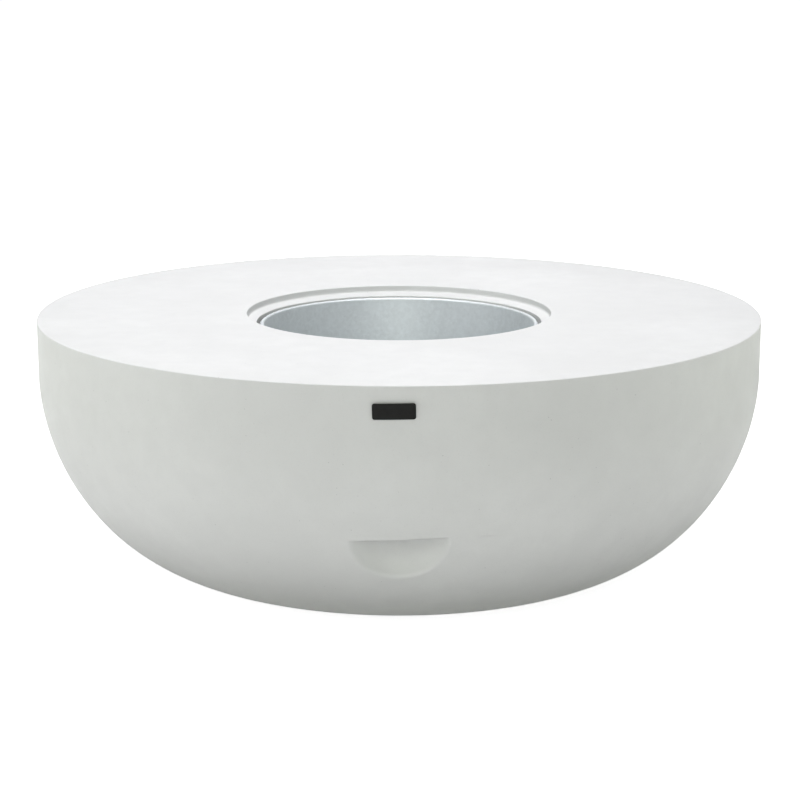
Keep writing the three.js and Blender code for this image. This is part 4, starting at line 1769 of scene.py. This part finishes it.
@dataclass(frozen=True)
class SoftLamp:
    """A soft rectangular lamp: its place, the point it faces, its sides, power in watts and colour."""

    name: str
    at: tuple[float, float, float]
    faces: tuple[float, float, float]
    sides: tuple[float, float]
    power: float
    colour: Colour = (1.0, 1.0, 1.0)

    def hang(self) -> None:
        """Puts the lamp in the scene, out of the camera's sight."""
        data = bpy.data.lights.new(self.name, "AREA")
        data.shape = "RECTANGLE"
        data.size, data.size_y = self.sides
        data.energy = self.power
        data.color = self.colour
        lamp = bpy.data.objects.new(self.name, data)
        lamp.location = self.at
        aim = Vector(self.faces) - Vector(self.at)
        lamp.rotation_euler = aim.to_track_quat("-Z", "Y").to_euler()
        lamp.visible_camera = False
        bpy.context.scene.collection.objects.link(lamp)


# The point in the table that the high lamps face
MIDDLE = (0.0, 0.0, 0.24)
LAMPS = (
    SoftLamp("top_lamp", (-0.15, 0, 3.6), MIDDLE, (1.8, 1.8), 98, (0.96, 0.95, 1.0)),
    SoftLamp("front_lamp", (0, -3.8, 1.9), MIDDLE, (2.0, 2.0), 46, (0.97, 1.0, 0.94)),
    SoftLamp("rear_lamp", (0, 2.8, 3.2), MIDDLE, (2.0, 2.0), 25),
    SoftLamp("left_lamp", (-3.6, -1.4, 1.2), MIDDLE, (2.2, 2.2), 20),
    SoftLamp("left_floor_lamp", (-1.9, 0, 0.004), (-1.9, 0, 1), (1.3, 2.5), 30, (0.96, 1.0, 0.9)),
    SoftLamp("right_floor_lamp", (1.9, 0, 0.004), (1.9, 0, 1), (1.3, 2.5), 34, (0.96, 1.0, 0.9)),
)


@dataclass
class Studio:
    """Camera, floor, world and lamps. The camera's numbers come from a fit to the photo."""

    target: Vector = field(default_factory=lambda: Vector((0, 0, 0.2383)))
    distance: float = 3.534
    elevation: float = math.radians(12.358)
    focal_pixels: float = 2518
    frame_pixels: float = 800
    sensor: float = 36
    axis_offset_pixels: float = 1
    floor_size: float = 80
    floor_colour: Colour = (0.8, 0.8, 0.8)
    floor_glow: tuple[float, float] = (0.9, 1.0)
    glow_reach: tuple[float, float] = (0.8, 3.0)
    covered_radius: float = 0.2
    world_strength: float = 0.04

    def camera(self) -> None:
        """Makes the camera at the viewing angle."""
        back = Vector((0, -math.cos(self.elevation), math.sin(self.elevation)))
        data = bpy.data.cameras.new("camera")
        data.sensor_width = self.sensor
        data.lens = self.focal_pixels / self.frame_pixels * self.sensor
        data.shift_x = self.axis_offset_pixels / self.frame_pixels
        data.clip_end = self.floor_size
        camera = bpy.data.objects.new("camera", data)
        camera.location = self.target + back * self.distance
        camera.rotation_euler = (math.pi / 2 - self.elevation, 0, 0)
        bpy.context.scene.collection.objects.link(camera)
        bpy.context.scene.camera = camera

    def glow(self, graph: NodeGraph) -> Socket:
        """How strongly the floor glows where it is seen: less near the table, and not at all under it.

        Args:
            graph: The floor's nodes.

        Returns:
            The strength's socket.
        """
        place_on_floor = graph.add("TexCoord").outputs["Object"]
        away = graph.add("VectorMath", {0: place_on_floor}, operation="LENGTH").outputs["Value"]
        near_and_far = graph.ranged(away, self.glow_reach, self.floor_glow)
        uncovered = graph.math("GREATER_THAN", away, self.covered_radius)
        return graph.math("MULTIPLY", graph.math("MULTIPLY", graph.seen_directly(), near_and_far), uncovered)

    def floor(self) -> None:
        """Lays the pale floor, which keeps the object's shadow and shows as white beyond it."""
        deselect()
        bpy.ops.mesh.primitive_plane_add(size=self.floor_size)
        floor = named("floor")
        material = bpy.data.materials.new("pale_floor")
        graph = NodeGraph(material)
        graph.nodes.clear()
        matt = graph.add("BsdfDiffuse", {"Color": (*self.floor_colour, 1)})
        glow = graph.add("Emission", {"Strength": self.glow(graph)})
        both = graph.add("AddShader", {0: matt.outputs[0], 1: glow.outputs[0]})
        graph.add("OutputMaterial", {"Surface": both.outputs[0]})
        floor.data.materials.append(material)

    def world(self) -> None:
        """Makes the world: an even dim light that shows as white."""
        world = bpy.data.worlds.new("studio")
        bpy.context.scene.world = world
        graph = NodeGraph(world)
        graph.nodes.clear()
        white = graph.add("Background", {"Color": WHITE})
        dim = graph.add("Background", {"Color": WHITE, "Strength": self.world_strength})
        inputs = {0: graph.seen_directly(), 1: dim.outputs[0], 2: white.outputs[0]}
        graph.add("OutputWorld", {"Surface": graph.add("MixShader", inputs).outputs[0]})

    def make(self) -> None:
        """Makes camera, floor, world and lamps."""
        self.camera()
        self.floor()
        self.world()
        for lamp in LAMPS:
            lamp.hang()
        bpy.context.scene.view_settings.view_transform = "Standard"


def main() -> None:
    """Builds the looks of the table on its frame, piece by piece."""
    logging.basicConfig(level=logging.INFO, format="%(name)s %(message)s")
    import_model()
    bowl = CastBowl()
    drain = DrainSet()
    for part in (Studio(), bowl, FrontPlate(bowl), Feet(), IceBucket(drain), drain, Plug(drain)):
        part.make()


if __name__ == "__main__":
    main()
